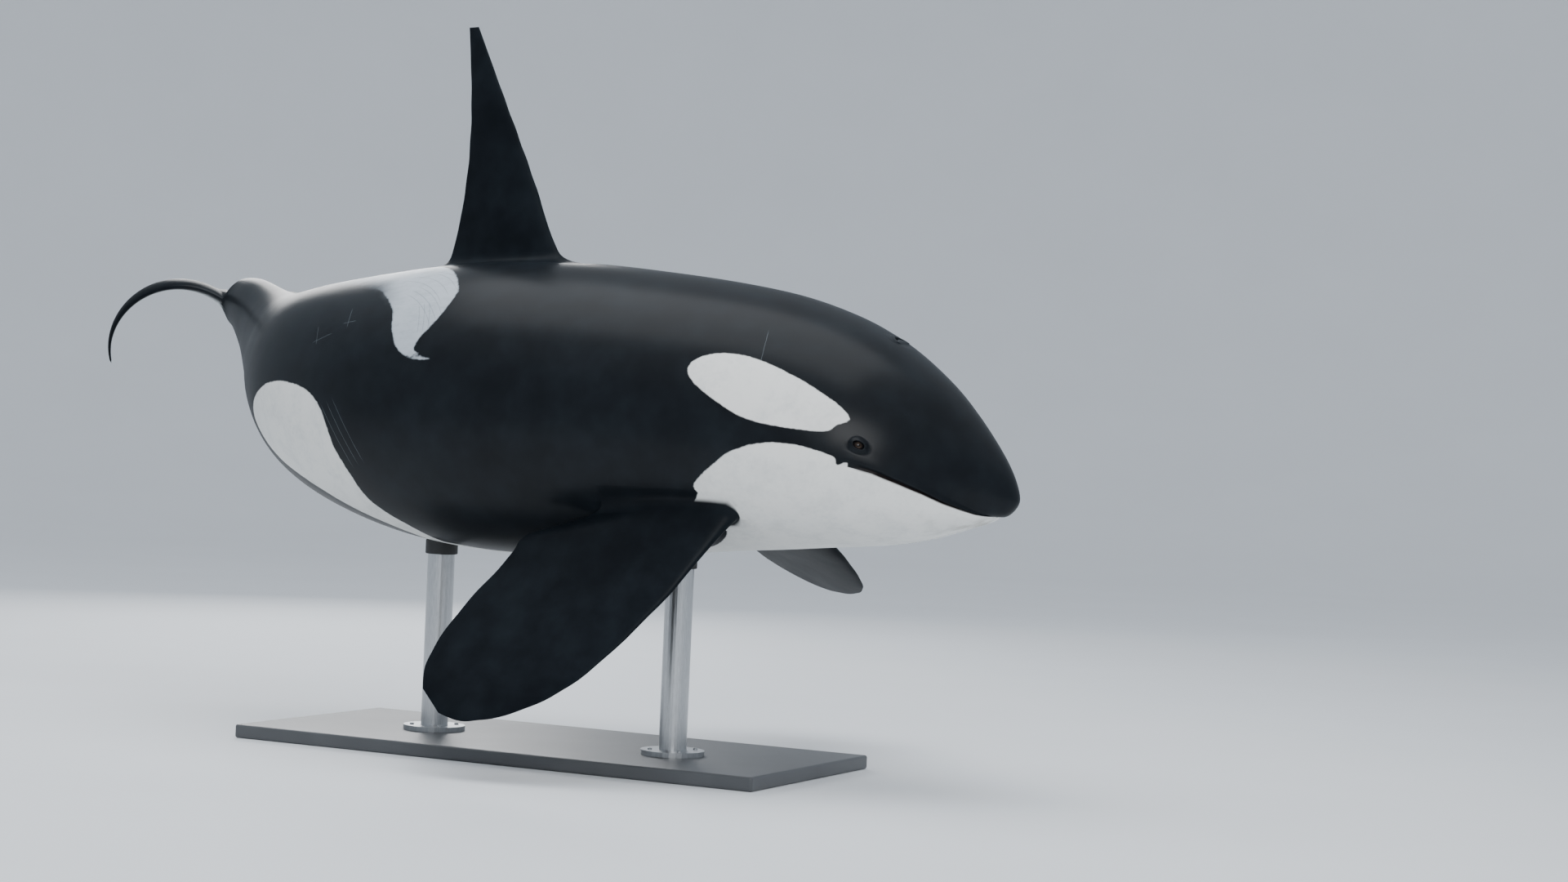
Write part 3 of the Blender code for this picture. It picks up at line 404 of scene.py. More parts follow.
class Surface:
    """Grids of points gathered into one mesh, each point with its marks."""

    def __init__(self):
        self.points, self.marks, self.faces, self.count = [], [], [], 0

    def add(self, points, marks, closed=False, hole=None):
        """Adds a grid. A closed grid's rows are loops, and hole is a mask of faces to leave out."""
        rows, columns = points.shape[:2]
        index = self.count + np.arange(rows * columns).reshape(rows, columns)
        if closed:
            index = np.concatenate((index, index[:, :1]), axis=1)
        corners = np.stack((index[:-1, :-1], index[:-1, 1:], index[1:, 1:], index[1:, :-1]), axis=-1)
        self.faces.append(corners[~hole] if hole is not None else corners.reshape(-1, 4))
        self.points.append(points.reshape(-1, 3))
        spread = np.broadcast_to(marks, points.shape[:2] + marks.shape[-1:])
        self.marks.append(spread.reshape(rows * columns, marks.shape[-1]))
        self.count += rows * columns

    def close(self, loop, marks):
        """Closes a loop by a strip between its two halves."""
        half = len(loop) // 2

        def two_rows(values):
            """The loop's first half, and the second one run backwards."""
            return np.stack((values[:half + 1], np.concatenate((values[:1], values[:half - 1:-1]))))

        self.add(two_rows(loop), two_rows(marks))

    def to_object(self, name, mark_names, sharp=60.0):
        """Makes the object: points that share a place joined, faces outward, the marks as attributes."""
        mesh = bpy.data.meshes.new(name)
        faces = np.concatenate(self.faces)
        mesh.from_pydata(np.concatenate(self.points), [], faces)
        marks = np.concatenate(self.marks)
        for column, mark in enumerate(mark_names):
            attribute = mesh.attributes.new(mark, "FLOAT", "POINT")
            attribute.data.foreach_set("value", marks[:, column].astype(np.float32))
        work = bmesh.new()
        work.from_mesh(mesh)
        bmesh.ops.remove_doubles(work, verts=work.verts, dist=JOINED)
        bmesh.ops.dissolve_degenerate(work, edges=work.edges, dist=JOINED)
        unused = [vertex for vertex in work.verts if not vertex.link_faces]
        bmesh.ops.delete(work, geom=unused, context="VERTS")
        bmesh.ops.recalc_face_normals(work, faces=work.faces)
        if work.calc_volume(signed=True) < 0.0:
            bmesh.ops.reverse_faces(work, faces=work.faces)
        work.to_mesh(mesh)
        work.free()
        mesh.shade_smooth()
        mesh.set_sharp_from_angle(angle=np.radians(sharp))
        piece = bpy.data.objects.new(name, mesh)
        bpy.context.scene.collection.objects.link(piece)
        return piece


skin_surface = Surface()
hole = np.zeros((len(ring_marks) - 1, ring_angles.shape[1] - 1), dtype=bool)
places = {
    "pectoral_right": PECTORAL_PLACE, "pectoral_left": mirrored(PECTORAL_PLACE), "dorsal": DORSAL_PLACE,
    "eye_right": EYE_PLACE, "eye_left": mirrored(EYE_PLACE), "blowhole": BLOWHOLE_PLACE,
}
blocks = {name: opening(place) for name, place in places.items()}
for rows, columns in blocks.values():
    hole[rows.start:rows.stop - 1, columns.start:columns.stop - 1] = True
skin_surface.add(hide_points, hide_marks, hole=hole)


# The dorsal and pectoral fins: stiff blades of fibrous tissue, with a rounded leading edge and a thin
# trailing one, that run into the body by a soft fillet. Tables give shares of the length, the leading and
# the trailing edge and the half thickness.

DORSAL_HEIGHT = 1.25
DORSAL = np.array((
    (0.00, 0.320, -0.425, 0.068),
    (0.12, 0.235, -0.375, 0.055),
    (0.30, 0.145, -0.325, 0.043),
    (0.50, 0.035, -0.295, 0.032),
    (0.70, -0.080, -0.290, 0.023),
    (0.85, -0.165, -0.298, 0.016),
    (1.00, -0.250, -0.310, 0.008),
))
PECTORAL_LENGTH = 1.46
PECTORAL = np.array((
    (0.00, 0.255, -0.275, 0.075),
    (0.15, 0.305, -0.425, 0.060),
    (0.35, 0.410, -0.450, 0.045),
    (0.55, 0.465, -0.395, 0.033),
    (0.75, 0.415, -0.325, 0.023),
    (0.90, 0.300, -0.230, 0.015),
    (0.97, 0.200, -0.145, 0.011),
    (1.00, 0.110, -0.070, 0.008),
))
PECTORAL_RIGHT = (59.0, 39.5, 0.0)
PECTORAL_LEFT = (21.0, 15.5, 18.0)
FIN_FILLET = 0.07
FIN_SQUARE = 0.6
FIN_FULLNESS = 1.15
FIN_THINNING = 0.35
FIN_ROWS = 46
FILLET_ROWS = 9
FIN_WAVE = 0.002  # slight waves along the edges
FIN_WAVES = (47.0, 39.0)
TIP_SHARE = 0.03  # share of the length over which the tip closes


def unit(vector):
    """The vector at length 1."""
    return vector / np.linalg.norm(vector)


def upward(vector):
    """The vector or its opposite, whichever points up."""
    return vector if vector[2] > 0.0 else -vector


def facing(edge):
    """The direction across a loop, and the one square to its plane, from its two diameters."""
    quarter = len(edge) // 4
    across = edge[quarter] - edge[-quarter]
    return across, unit(np.cross(edge[0] - edge[len(edge) // 2], across))


def add_fin(edge, marks, table, length, span, chord):
    """A fin that grows from the edge of an opening.

    Each point of a section lies at a share of the chord, (1 - cos turn) / 2, and its thickness follows
    sin turn, thinned towards the trailing edge. At the root a section lies in the plane of the hide, and up
    to FIN_SQUARE of the length it turns square to the span. The fillet is a curve of second degree from the
    opening's edge, by way of the root, to a section a little way up the fin.
    """
    middle = edge.mean(axis=0)
    chord = unit(chord - span * np.dot(chord, span))
    thick = np.cross(span, chord)
    across, normal = facing(edge)
    if np.dot(across, thick) < 0.0:
        thick = -thick
    turn = 2.0 * np.pi * np.arange(len(edge)) / len(edge)
    share = (1.0 - np.cos(turn)) / 2.0
    profile = FIN_FULLNESS * np.sin(turn) * (1.0 - share) ** FIN_THINNING

    def section(height):
        """The fin's section at a height up the span."""
        part = height / length
        lead, trail, half = (smooth(table[:, 0], table[:, column], part) for column in (1, 2, 3))
        wave = FIN_WAVE * np.sin(np.pi * min(part, 1.0)) ** 2
        lead = lead + wave * np.sin(FIN_WAVES[0] * part)
        trail = trail - wave * np.sin(FIN_WAVES[1] * part)
        half = half * np.sqrt(max(0.0, 1.0 - max(0.0, (part - 1.0 + TIP_SHARE) / TIP_SHARE) ** 2))
        flat = np.outer(lead + (trail - lead) * share, chord) + np.outer(half * profile, thick)
        slant = -(flat @ normal) / np.dot(span, normal) * (1.0 - ease(part, 0.0, FIN_SQUARE))
        return middle + flat + np.outer(height + slant, span)

    low, root = section(FIN_FILLET), section(0.0)
    rows = [(1.0 - part) ** 2 * edge + 2.0 * part * (1.0 - part) * root + part**2 * low
            for part in np.linspace(0.0, 1.0, FILLET_ROWS)]
    heights = FIN_FILLET + (length - FIN_FILLET) * np.sin(np.linspace(0.0, 0.5, FIN_ROWS + 1)[1:] * np.pi)
    rows = np.array(rows + [section(height) for height in heights])
    grown = np.repeat(marks[None], len(rows), axis=0)
    up_fin = ease(np.arange(len(rows), dtype=float), 0.0, FILLET_ROWS - 1.0)
    grown[..., MARK_NAMES.index("on_fin")] = up_fin[:, None]
    skin_surface.add(rows, grown, closed=True)
    skin_surface.close(rows[-1], grown[-1])


def fin_directions(angles, side):
    """The span and chord of a pectoral fin, swept back, dropped and twisted. side is 1 on the left."""
    sweep, drop, twist = np.radians(angles)
    out = np.array((-np.sin(sweep) * np.cos(drop), side * np.cos(sweep) * np.cos(drop), -np.sin(drop)))
    ahead = np.array((1.0, 0.0, 0.0))
    ahead = unit(ahead - out * np.dot(ahead, out))
    return out, np.cos(twist) * ahead + np.sin(twist) * side * np.cross(out, ahead)


for name, angles, side in (("pectoral_right", PECTORAL_RIGHT, -1.0), ("pectoral_left", PECTORAL_LEFT, 1.0)):
    span, chord = fin_directions(angles, side)
    add_fin(edge_loop(hide_points, blocks[name]), edge_loop(hide_marks, blocks[name]), PECTORAL,
            PECTORAL_LENGTH, span, chord)
dorsal_edge = edge_loop(hide_points, blocks["dorsal"])
dorsal_forward = dorsal_edge[0] - dorsal_edge[len(dorsal_edge) // 2]
dorsal_span = upward(unit(np.cross(dorsal_forward, np.array((0.0, 1.0, 0.0)))))
dorsal_marks = edge_loop(hide_marks, blocks["dorsal"])
add_fin(dorsal_edge, dorsal_marks, DORSAL, DORSAL_HEIGHT, dorsal_span, dorsal_forward)


# The eyes: dark balls deep between thick lids. The lids are part of the skin: a low swell, a rounded rim and
# an almond edge that lies on the ball. The ball has a brown iris round an oval pupil, under a clear front.

EYE_RADIUS = 0.034
EYE_SINK = 0.026
EYE_OPENING = (0.026, 0.0155)
EYE_GAP = 0.0003
LID_LOOPS = ((0.048, 0.037, 0.0035), (0.040, 0.027, 0.008), (0.030, 0.019, 0.0125))
SOCKET_TILTS = (80.0, 115.0, 150.0)  # degrees from the ball's front
BALL_COLUMNS = 48
FRONT_ROWS = 30
REAR_ROWS = 20
LOOP_STEPS = 4
FLAT_LOOPS = 3
EYE_SCALES = (1.0, 0.92, 0.80, 0.70, 0.55, 0.38, 0.30)
neck_ring = opening(BLOWHOLE_PLACE)[0].stop + 20
ahead_of_head = hide_points[0].mean(axis=0) - hide_points[neck_ring].mean(axis=0)


def through(loops):
    """More loops, on a cubic curve through each point of the given ones.

    The slope at a loop leans towards the shorter of its two steps, so that the curve never swings past one.
    """
    loops = np.array(loops)
    steps = np.diff(loops, axis=0)
    sizes = np.linalg.norm(steps, axis=-1, keepdims=True) + 1e-9
    inner = (steps[:-1] * sizes[1:] + steps[1:] * sizes[:-1]) / (sizes[:-1] + sizes[1:])
    slopes = np.concatenate((steps[:1], inner, steps[-1:]))
    where = np.linspace(0.0, len(loops) - 1.0, (len(loops) - 1) * LOOP_STEPS + 1)
    below = np.clip(where.astype(int), 0, len(loops) - 2)
    share = (where - below)[:, None, None]
    return between(share, loops[below], loops[below + 1], slopes[below], slopes[below + 1])


def add_eye(name):
    """Lids in the skin, and the eyeball as a piece of its own, on the directions of the opening's edge."""
    edge = edge_loop(hide_points, blocks[name])
    middle = edge.mean(axis=0)
    outward = facing(edge)[1]
    if outward[1] * (middle[1] - SPINE_ZERO[1]) < 0.0:
        outward = -outward
    ahead = unit(ahead_of_head - outward * np.dot(ahead_of_head, outward))
    above = upward(np.cross(outward, ahead))
    turn = np.arctan2((edge - middle) @ above, (edge - middle) @ ahead)
    centre = middle - outward * EYE_SINK
    almond = np.arcsin(np.hypot(np.cos(turn) * EYE_OPENING[0], np.sin(turn) * EYE_OPENING[1]) / EYE_RADIUS)

    def ellipse(long, high, rise):
        """A loop round the opening, raised over the hide."""
        along_eye = np.outer(np.cos(turn) * long, ahead)
        return middle + outward * rise + along_eye + np.outer(np.sin(turn) * high, above)

    def ball(radius, tilt, turns):
        """A loop on a ball round the eye's middle, tilted from its front."""
        spread = np.outer(np.cos(turns), ahead) + np.outer(np.sin(turns), above)
        return centre + radius * (np.cos(tilt)[:, None] * outward + np.sin(tilt)[:, None] * spread)

    socket = EYE_RADIUS + EYE_GAP
    behind = [ball(socket, np.full(len(turn), np.radians(tilt)), turn) for tilt in SOCKET_TILTS]
    flat, marks = inward_loops(blocks[name], EYE_SCALES)
    lids = [ellipse(*loop) for loop in LID_LOOPS] + [ball(socket, almond, turn)]
    loops = np.concatenate((through(list(flat[:FLAT_LOOPS]) + lids), behind))
    marks = np.concatenate((through(marks), np.repeat(marks[-1:], len(behind), axis=0)))
    skin_surface.add(loops, marks, closed=True)
    skin_surface.close(loops[-1], marks[-1])

    around = np.linspace(0.0, 2.0 * np.pi, BALL_COLUMNS, endpoint=False)
    tilts = np.concatenate((np.linspace(0.5, 75.0, FRONT_ROWS), np.linspace(80.0, 179.5, REAR_ROWS)))
    tilts = np.radians(tilts)
    rows = np.array([ball(EYE_RADIUS, np.full(BALL_COLUMNS, tilt), around) for tilt in tilts])
    off_axis = np.sin(tilts)[:, None, None] * EYE_RADIUS
    marks = off_axis * np.stack((np.cos(around), np.sin(around)), axis=-1)
    surface = Surface()
    surface.add(rows, marks, closed=True)
    surface.close(rows[0], marks[0])
    surface.close(rows[-1], marks[-1])
    return surface.to_object(name + "_ball", ("ahead", "above"))


eyeballs = {name: add_eye(name) for name in ("eye_right", "eye_left")}


# The blowhole: a crescent slit with its ends forward and a soft lip round it, closed by a plug a little way
# down. Loops give half the width, half the thickness, the height over the hide and the bow.

BLOWHOLE_LOOPS = (
    (0.077, 0.047, 0.005, 3.0),
    (0.066, 0.032, 0.010, 7.0),
    (0.054, 0.011, 0.009, 11.0),
    (0.050, 0.006, -0.002, 11.0),
    (0.040, 0.004, -0.030, 11.0),
)
BLOWHOLE_SCALES = (1.0, 0.95, 0.88, 0.75, 0.6, 0.4, 0.35, 0.3)
BLOWHOLE_LEVEL = 0.033  # how far to the side the crescents cross the middle of the opening

blow_edge = edge_loop(hide_points, blocks["blowhole"])
blow_middle = blow_edge.mean(axis=0)
blow_out = upward(facing(blow_edge)[1])
blow_ahead = unit(ahead_of_head - blow_out * np.dot(ahead_of_head, blow_out))
blow_aside = np.cross(blow_out, blow_ahead)
blow_turn = np.arctan2((blow_edge - blow_middle) @ blow_aside, (blow_edge - blow_middle) @ blow_ahead)


def crescent(half, thick, height, bow):
    """A crescent loop over the blowhole, raised over the hide."""
    across = np.sin(blow_turn) * half
    forward = np.cos(blow_turn) * thick + bow * (across**2 - BLOWHOLE_LEVEL**2)
    return blow_middle + blow_out * height + np.outer(forward, blow_ahead) + np.outer(across, blow_aside)


blow_flat, blow_marks = inward_loops(blocks["blowhole"], BLOWHOLE_SCALES)
blow_loops = through(list(blow_flat[:FLAT_LOOPS]) + [crescent(*loop) for loop in BLOWHOLE_LOOPS])
blow_marks = through(blow_marks)
skin_surface.add(blow_loops, blow_marks, closed=True)
skin_surface.close(blow_loops[-1], blow_marks[-1])
skin = skin_surface.to_object("skin", MARK_NAMES)


# The skin's finish: smooth, rubbery and wet, near black above and white in the markings, with a smoky saddle
# behind the fin. The edges of the markings are finely ragged, and old tooth rakes show as pale lines. A near
# black line along the mouth's groove is painted shade.

BLACK = (0.0045, 0.0060, 0.0080)
WORN_BLACK = (0.011, 0.015, 0.019)
WHITE = (0.80, 0.80, 0.77)
DULL_WHITE = (0.52, 0.54, 0.54)
SADDLE_GREY = (0.46, 0.50, 0.54)
SADDLE_SMOKE = (0.085, 0.11, 0.135)
STAIN = (0.22, 0.19, 0.13)


def operator(operation, swapped=False):
    """A method that adds a Math node over the wire and one more value, or over them the other way round."""
    def method(wire, other):
        return wire.math(operation, other, wire) if swapped else wire.math(operation, wire, other)
    return method


class Wire:
    """A node's output inside a material, for Python expressions that add Math nodes."""

    __add__ = operator("ADD")
    __radd__ = operator("ADD", swapped=True)
    __sub__ = operator("SUBTRACT")
    __rsub__ = operator("SUBTRACT", swapped=True)
    __mul__ = operator("MULTIPLY")
    __rmul__ = operator("MULTIPLY", swapped=True)
    top = operator("MAXIMUM")
    least = operator("MINIMUM")
    fold = operator("PINGPONG")

    def __init__(self, tree, socket):
        self.tree = tree
        self.socket = socket

    def math(self, operation, *values):
        """A Math node over wires and numbers, in their order."""
        node = self.tree.nodes.new("ShaderNodeMath")
        node.operation = operation
        for place, value in enumerate(values):
            if isinstance(value, Wire):
                self.tree.links.new(value.socket, node.inputs[place])
            else:
                node.inputs[place].default_value = value
        return Wire(self.tree, node.outputs[0])

    def __abs__(self):
        return self.math("ABSOLUTE", self)

    def root(self):
        """The square root."""
        return self.math("SQRT", self)

    def sine(self):
        """The sine."""
        return self.math("SINE", self)

    def within(self, low, high):
        """0 below low, 1 above high, smooth between."""
        node = self.tree.nodes.new("ShaderNodeMapRange")
        node.interpolation_type = "SMOOTHSTEP"
        self.tree.links.new(self.socket, node.inputs["Value"])
        node.inputs["From Min"].default_value = low
        node.inputs["From Max"].default_value = high
        return Wire(self.tree, node.outputs["Result"])


class Finish:
    """A material under construction, with one Principled shader."""

    def __init__(self, name, **constants):
        self.material = bpy.data.materials.new(name)
        self.material.use_nodes = True
        self.tree = self.material.node_tree
        self.shader = self.tree.nodes["Principled BSDF"]
        for socket, value in constants.items():
            self.shader.inputs[socket.replace("_", " ")].default_value = value

    def node(self, kind, settings=(), output=0, **inputs):
        """A node of a kind, its settings given first and then the values or wires of its sockets."""
        node = self.tree.nodes.new(kind)
        for setting, value in dict(settings).items():
            setattr(node, setting, value)
        for socket, value in inputs.items():
            key = socket.replace("_", " ") if not socket.startswith("at") else int(socket[2:])
            if isinstance(value, Wire):
                self.tree.links.new(value.socket, node.inputs[key])
            else:
                node.inputs[key].default_value = value
        return Wire(self.tree, node.outputs[output])

    def mark(self, name):
        """An attribute that the mesh carries."""
        return self.node("ShaderNodeAttribute", {"attribute_name": name}, "Fac")

    def place(self):
        """The point's place on the object."""
        return self.node("ShaderNodeTexCoord", (), "Object")

    def noise(self, scale, detail=4.0, roughness=0.55, vector=None):
        """A Noise Texture's value, around 0.5."""
        vector = vector or self.place()
        return self.node("ShaderNodeTexNoise", (), "Fac", Vector=vector, Scale=scale, Detail=detail,
                         Roughness=roughness)

    def stretched(self, factors, vector=None):
        """The place, each axis scaled by its own factor."""
        vector = vector or self.place()
        return self.node("ShaderNodeVectorMath", {"operation": "MULTIPLY"}, at0=vector, at1=factors)

    def mix(self, factor, one, other):
        """A colour between two, by a factor."""
        one, other = (value if isinstance(value, Wire) else (*value, 1.0) for value in (one, other))
        return self.node("ShaderNodeMix", {"data_type": "RGBA"}, 2, at0=factor, at6=one, at7=other)

    def feed(self, **sockets):
        """Links wires to the shader's sockets."""
        for socket, wire in sockets.items():
            self.tree.links.new(wire.socket, self.shader.inputs[socket.replace("_", " ")])

    def bump(self, height, distance, strength=1.0):
        """Raises the surface by a height, in metres at most distance."""
        self.feed(Normal=self.node("ShaderNodeBump", Height=height, Distance=distance, Strength=strength))


skin_finish = Finish("wet_skin", Roughness=0.4, Coat_Weight=0.22, Coat_Roughness=0.28, IOR=1.07)
along, around_body = skin_finish.mark("along"), skin_finish.mark("round")
DEGREE = np.radians(1.0) * GIRTH_RADIUS  # metres on the unrolled hide
off_fin = 1.0 - skin_finish.mark("on_fin").within(0.05, 0.5)
broad, patchy = skin_finish.noise(1.3), skin_finish.noise(7.0)
fine, grain = skin_finish.noise(42.0), skin_finish.noise(190.0)
ragged = (fine - 0.5) * 0.009 + (patchy - 0.5) * 0.014 + (grain - 0.5) * 0.003


def marking(name, softness, wander=1.0):
    """Where a white marking lies, its edge moved about by noise."""
    return (skin_finish.mark(name) + ragged * wander).within(-softness, softness)


def rake(share, degrees, length, heading, lines, spacing, side=-1.0, width=0.0016, bow=0.3):
    """Parallel scratches left by teeth: lines a spacing apart, of a length, bowed, on one side of the body.

    Their own axes are the heading on the unrolled hide and the direction across it. The lines are where the
    distance across is a whole number of spacings, and their ends fade.
    """
    turn = np.radians(heading)
    x = along - share * BODY_LENGTH
    y = around_body - side * degrees * DEGREE
    down = x * np.cos(turn) + y * np.sin(turn)
    across = y * np.cos(turn) - x * np.sin(turn) + down * down * bow + (fine - 0.5) * 0.006
    nearest = abs(across.fold(spacing / 2.0))
    past_ends = abs(down).within(length * 0.32, length * 0.5)
    past_sides = abs(across).within(spacing * (lines - 1.0) / 2.0, spacing * lines / 2.0)
    return (1.0 - nearest.within(width * 0.4, width)) * ((1.0 - past_ends) * (1.0 - past_sides))


LIP_LINE = 90.6 * DEGREE
MOUTH_CORNER = 0.0945 * BODY_LENGTH
under_lip = (abs(around_body) - LIP_LINE).within(-0.002, 0.002)
under_lip = under_lip.top(along.within(MOUTH_CORNER - 0.006, MOUTH_CORNER))
throat = marking("throat", 0.004) * under_lip
# Painted shade: a near-black line along the middle of the mouth's groove, ahead of its corner, where the
# groove lies in shadow.
from_lip = abs(abs(around_body) - 90.0 * DEGREE)
behind_mouth = along.within(MOUTH_CORNER - 0.1, MOUTH_CORNER)
painted_groove_shade = (1.0 - from_lip.within(DEGREE * 0.5, DEGREE * 1.4)) * (1.0 - behind_mouth)
eye_patch = marking("eye_patch", 0.004, 0.9)
flank = marking("flank", 0.005, 1.3)
white = throat.top(eye_patch).top(flank) * off_fin
pale_under = marking("pale_blade", 0.035, 1.2)
rearward = along.within(0.470 * BODY_LENGTH, 0.530 * BODY_LENGTH)
saddle_rear = (skin_finish.mark("saddle") + (patchy - 0.5) * 0.08).within(-0.03, 0.13)
saddle_edge = marking("saddle", 0.006, 1.4)
saddle_area = (saddle_edge + (saddle_rear - saddle_edge) * rearward) * off_fin
saddle_fade = 1.0 - along.within(0.470 * BODY_LENGTH, 0.640 * BODY_LENGTH)
arcs = skin_finish.noise(9.0, 6.0, 0.7, skin_finish.stretched((1.0, 3.0, 3.0)))
saddle_tone = (saddle_fade * (0.86 + (arcs - 0.5) * 0.9) + (broad - 0.5) * 0.2).within(0.0, 1.0)
SCRATCHES = (
    (0.552, 60.0, 0.15, 65.0, 2, 0.030), (0.544, 61.5, 0.16, -25.0, 2, 0.022),
    (0.523, 51.0, 0.16, 70.0, 2, 0.030), (0.520, 53.5, 0.10, -10.0, 2, 0.020),
    (0.168, 48.5, 0.24, 82.0, 2, 0.040), (0.505, 104.0, 0.42, 62.0, 3, 0.045),
)
scratches = sum(rake(*scratch) * (0.35 + 0.65 * broad) for scratch in SCRATCHES)
scratches = scratches + rake(0.36, 72.0, 0.5, 15.0, 4, 0.03, 1.0) + rake(0.2, 50.0, 0.4, 60.0, 3, 0.03, 1.0)

SADDLE_LINES = (
    (0.462, 30.0, 0.50, 28.0, 3, 0.050), (0.452, 44.0, 0.40, 40.0, 3, 0.036),
    (0.470, 22.0, 0.36, 15.0, 2, 0.040), (0.447, 52.0, 0.22, 68.0, 3, 0.028),
)
saddle_lines = sum(rake(*line, width=0.0026, bow=0.9) * (0.3 + 0.7 * patchy) for line in SADDLE_LINES)

EYE_ALONG = 0.0893 * BODY_LENGTH
EYE_ROUND = 78.0 * DEGREE
from_eye_along, from_eye_round = along - EYE_ALONG, abs(around_body) - EYE_ROUND
eye_square = from_eye_along * from_eye_along + from_eye_round * from_eye_round * 1.6
from_eye = eye_square.root()
near_eye = (1.0 - from_eye.within(0.045, 0.11)) * off_fin
broken = skin_finish.noise(20.0, 2.0).within(0.42, 0.62)
wrinkle_phase = (from_eye + (fine - 0.5) * 0.030 + (patchy - 0.5) * 0.050) * 620.0
eye_wrinkles = wrinkle_phase.sine() * near_eye * broken

worn = (patchy * 0.6 + broad * 0.7 - 0.45).within(0.0, 0.6)
black = skin_finish.mix(worn, BLACK, WORN_BLACK)
black = skin_finish.mix((scratches * 0.5).least(0.6), black, (0.24, 0.28, 0.31))
dull = (patchy + fine * 0.5).within(0.62, 1.15)
pale = skin_finish.mix(dull * 0.5, WHITE, DULL_WHITE)
stained = (1.0 - along.within(0.02 * BODY_LENGTH, 0.07 * BODY_LENGTH)) * patchy.within(0.42, 0.75)
pale = skin_finish.mix(stained * 0.5, pale, STAIN)
saddle_colour = skin_finish.mix(saddle_tone, SADDLE_SMOKE, SADDLE_GREY)
saddle_colour = skin_finish.mix((saddle_lines * 0.55).least(0.6), saddle_colour, SADDLE_SMOKE)
colour = skin_finish.mix(saddle_area, black, saddle_colour)
colour = skin_finish.mix(pale_under * 0.8, colour, DULL_WHITE)
pale = skin_finish.mix((scratches * 0.35).least(0.4), pale, (0.30, 0.31, 0.31))
colour = skin_finish.mix(white, colour, pale)
# The painted shade of the mouth's groove goes on last, over the white and the black.
colour = skin_finish.mix(painted_groove_shade * 0.9, colour, (0.012, 0.009, 0.009))
skin_finish.feed(Base_Color=colour, Roughness=0.37 + patchy * 0.16 + (grain - 0.5) * 0.10 + white * 0.05)
skin_finish.feed(Coat_Weight=0.06 + off_fin * 0.18)
folds = skin_finish.noise(26.0, 5.0, 0.6, skin_finish.stretched((1.0, 1.0, 2.6)))
skin_finish.bump(folds * 0.30 + grain * 0.22 - scratches * 0.35 + eye_wrinkles * 0.22, 0.0016, 0.55)
skin.data.materials.append(skin_finish.material)
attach(skin, "root")
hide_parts("head", "lower_jaw", "chest", "torso", "tail", "tail_stock", "dorsal_fin",
            "pectoral_right", "pectoral_left", "fluke_right", "fluke_left")


# The eyeballs' finish: a dark brown iris with fine spokes round an oval pupil, fading to near black at its
# rim. The marks are metres off the ball's axis.

eye_finish = Finish("eyeball", Roughness=0.08, Coat_Weight=0.3, Coat_Roughness=0.02, IOR=1.15)
eye_ahead, eye_above = eye_finish.mark("ahead"), eye_finish.mark("above")
from_pupil = (eye_ahead * eye_ahead * 0.6 + eye_above * eye_above).root()
spokes = eye_finish.noise(90.0, 3.0)
iris = eye_finish.mix(spokes.within(0.35, 0.7), (0.014, 0.008, 0.005), (0.042, 0.025, 0.014))
iris = eye_finish.mix(from_pupil.within(0.0052, 0.0064), (0.001, 0.001, 0.0012), iris)
eye_finish.feed(Base_Color=eye_finish.mix(from_pupil.within(0.0115, 0.0150), iris, (0.012, 0.011, 0.012)))
for name, ball in eyeballs.items():
    ball.data.materials.append(eye_finish.material)
    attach(ball, "root")
    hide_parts(name)


# The stand: a board painted satin graphite, and two brushed steel rods with flanges. Each flange is held by
# four socket screws, and a black rubber sleeve sits on each rod where it meets the belly.

board_finish = Finish("painted_board", Roughness=0.42, Coat_Weight=0.1, Coat_Roughness=0.3)
rolled = board_finish.noise(240.0, 3.0, 0.6)
clouds = board_finish.noise(2.2, 3.0)
board_colour = board_finish.mix(clouds.within(0.3, 0.75), (0.060, 0.063, 0.068), (0.078, 0.082, 0.087))
board_finish.feed(Base_Color=board_colour, Roughness=0.36 + clouds * 0.14)
board_finish.bump(rolled, 0.0006, 0.35)

rod_finish = Finish("brushed_steel", Metallic=1.0, Roughness=0.3)
brushed = rod_finish.noise(60.0, 4.0, 0.6, rod_finish.stretched((9.0, 9.0, 0.35)))
rod_colour = rod_finish.mix(brushed.within(0.3, 0.7), (0.42, 0.43, 0.44), (0.56, 0.57, 0.58))
rod_finish.feed(Base_Color=rod_colour, Roughness=0.24 + brushed * 0.18)
rod_finish.bump(brushed, 0.0004, 0.3)
RODS = ("stand_rod_front", "stand_rod_rear")
for name, finish in (("stand_base", board_finish), (RODS[0], rod_finish), (RODS[1], rod_finish)):
    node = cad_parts[name]
    node.data.materials.clear()
    node.data.materials.append(finish.material)

rubber_finish = Finish("black_rubber", Roughness=0.6)
rubber_grain = rubber_finish.noise(400.0, 2.0)
rubber_finish.feed(Base_Color=rubber_finish.mix(rubber_grain, (0.012, 0.012, 0.012), (0.022, 0.022, 0.022)))
rubber_finish.bump(rubber_grain, 0.0004, 0.3)
ROD_RADIUS = 0.07
FLANGE_HEIGHT = 0.0253
SCREW_CIRCLE = 0.118
SCREW_RADIUS = 0.011
SOCKET_RADIUS = 0.0055
SOCKET_FLOOR = 0.001
SCREW_HEAD = ((0.0, SOCKET_FLOOR), (SOCKET_RADIUS, SOCKET_FLOOR), (SOCKET_RADIUS, 0.0085), (0.0092, 0.0085),
              (SCREW_RADIUS, 0.0068), (SCREW_RADIUS, 0.0), (0.0, 0.0))
SLEEVE_RADIUS = 0.084
SLEEVE_HEIGHT = 0.075
BEVEL = 0.004
